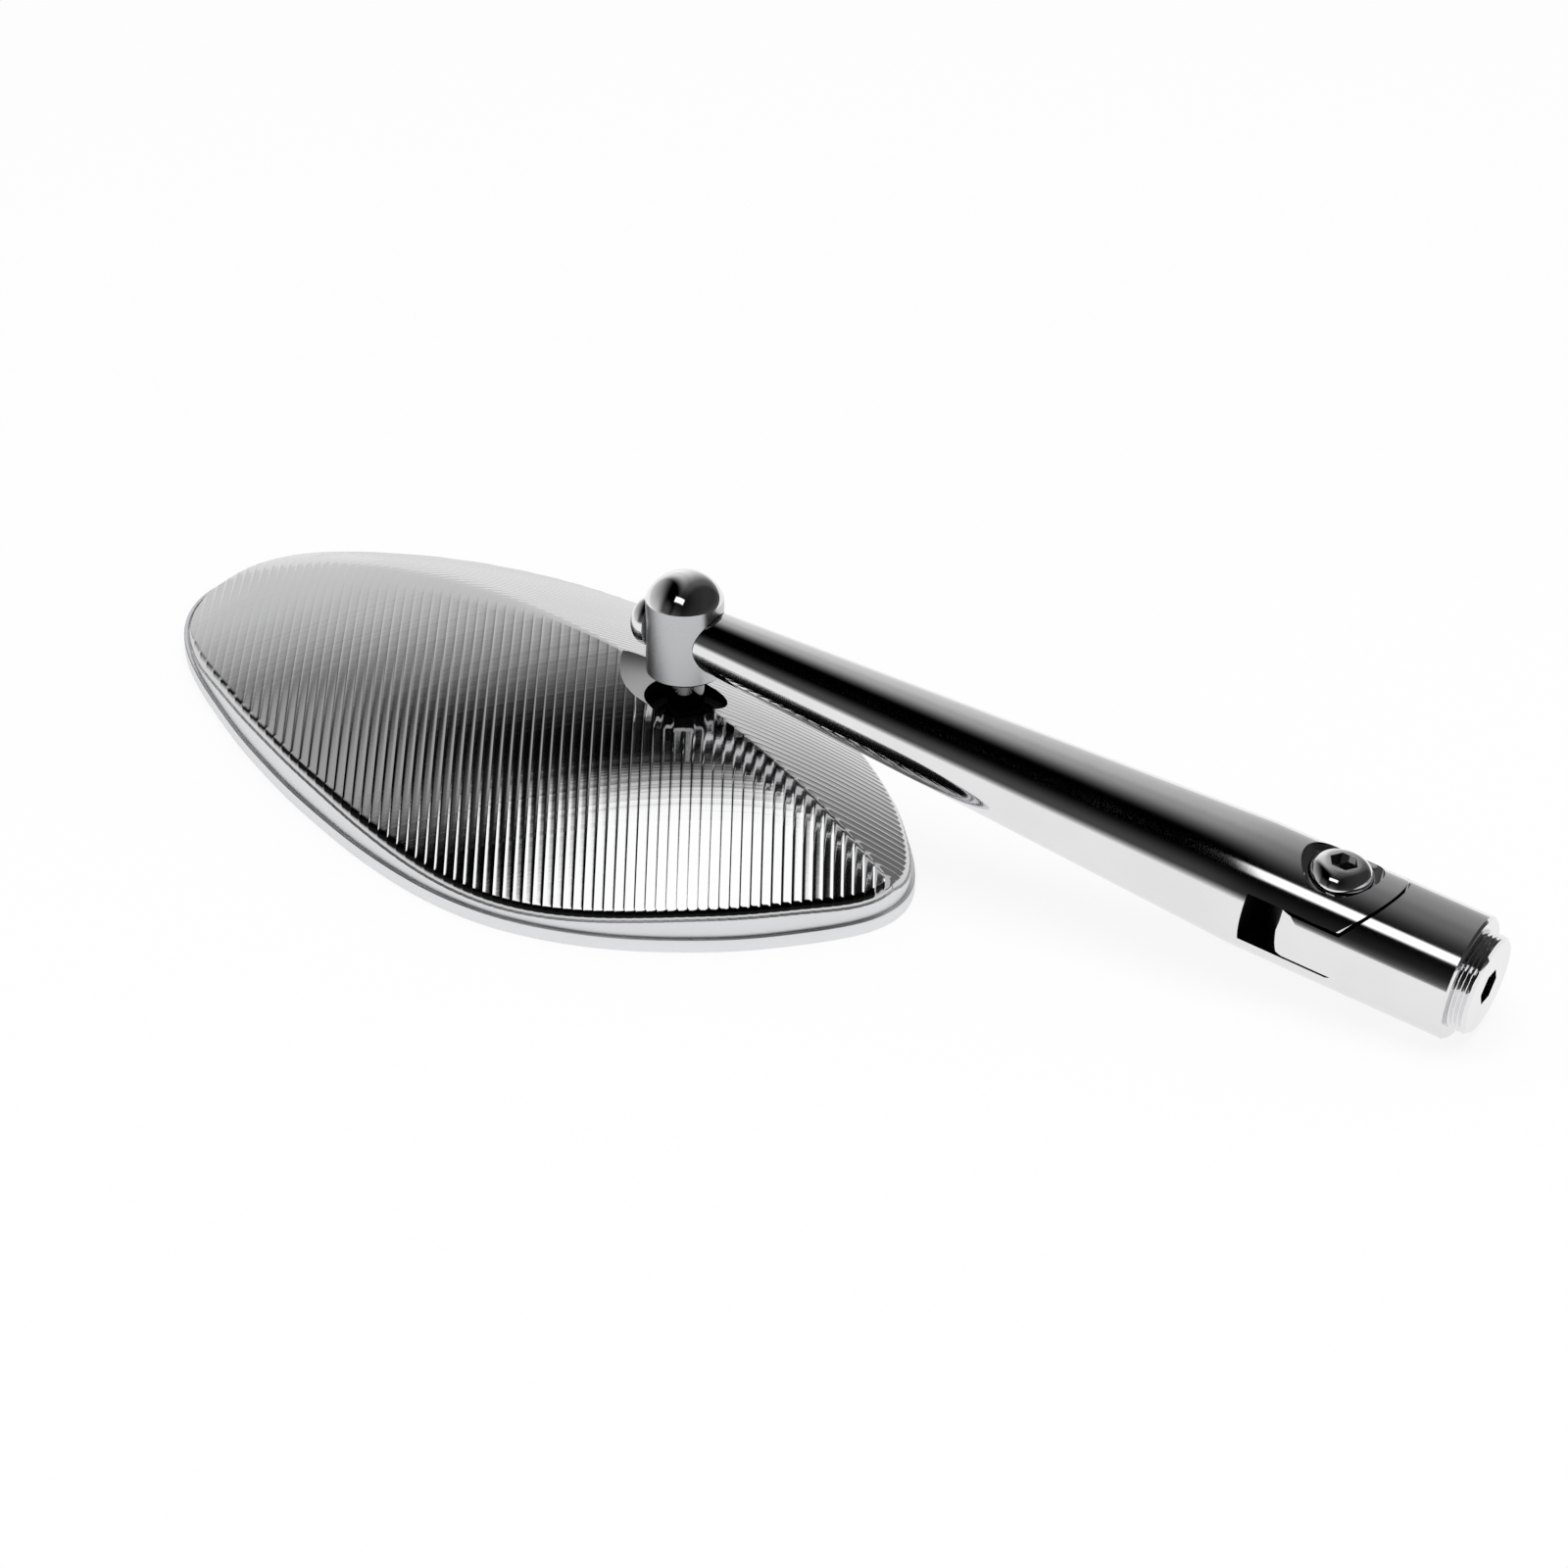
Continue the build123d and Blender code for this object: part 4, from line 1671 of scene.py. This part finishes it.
    @staticmethod
    def glowing(name: str, way: Array, glow: Array, radius: float, clear: bool) -> bpy.types.Object:
        """A sheet of the studio, seen by glossy rays only.

        Args:
            name: Name of the sheet.
            way: Grid of unit directions.
            glow: Brightness at each of them, kept on the points.
            radius: Distance in metres.
            clear: Whether it lets through what lies behind it.

        Returns:
            The sheet.
        """
        mesh = bpy.data.meshes.new(name)
        mesh.from_pydata(way.reshape(-1, 3) * radius, [], Patch(way, -way[:-1, :-1]).quads())
        level = mesh.attributes.new("glow", "FLOAT", "POINT")
        level.data.foreach_set("value", glow.astype(np.float32).ravel())
        pen = NodePen(name)
        value = pen.add("ShaderNodeAttribute", attribute_name="glow").outputs["Fac"]
        light = pen.add("ShaderNodeEmission", {"Color": (1.0, 1.0, 1.0, 1.0), "Strength": value})
        if clear:
            through = pen.add("ShaderNodeBsdfTransparent")
            both = pen.add("ShaderNodeAddShader")
            pen.tree.links.new(light.outputs[0], both.inputs[0])
            pen.tree.links.new(through.outputs[0], both.inputs[1])
            light = both
        mesh.materials.append(pen.close(light))
        sheet = bpy.data.objects.new(name, mesh)
        bpy.context.scene.collection.objects.link(sheet)
        sheet.visible_camera = False
        sheet.visible_diffuse = False
        sheet.visible_shadow = False
        sheet.visible_transmission = False
        return sheet

    def lamp(self) -> None:
        """One broad lamp above, for the faint shadow on the floor."""
        data = bpy.data.lights.new("lamp", "AREA")
        data.shape = "DISK"
        data.size = self.lamp_size
        data.energy = self.lamp_power
        lamp = bpy.data.objects.new("lamp", data)
        lamp.location = self.lamp_at
        lamp.rotation_euler = self.lamp_turn
        lamp.visible_glossy = False
        bpy.context.scene.collection.objects.link(lamp)

    def build(self, ribbed: list[bpy.types.Object]) -> None:
        """Set up the whole studio.

        Args:
            ribbed: The head's pieces.
        """
        self.camera()
        self.floor()
        self.world()
        self.domes(ribbed)
        self.card(ribbed)
        self.lamp()


def main() -> None:
    """Build the scene."""
    logging.basicConfig(level=logging.INFO, format="%(message)s")
    bpy.context.scene.view_settings.view_transform = "Standard"
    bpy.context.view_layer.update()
    PlainNodes().build()
    ribbed = RibbedHead().build()
    stem = Stem()
    stem.build()
    ThreadedStud().build(stem)
    Studio().build(ribbed)


if __name__ == "__main__":
    main()
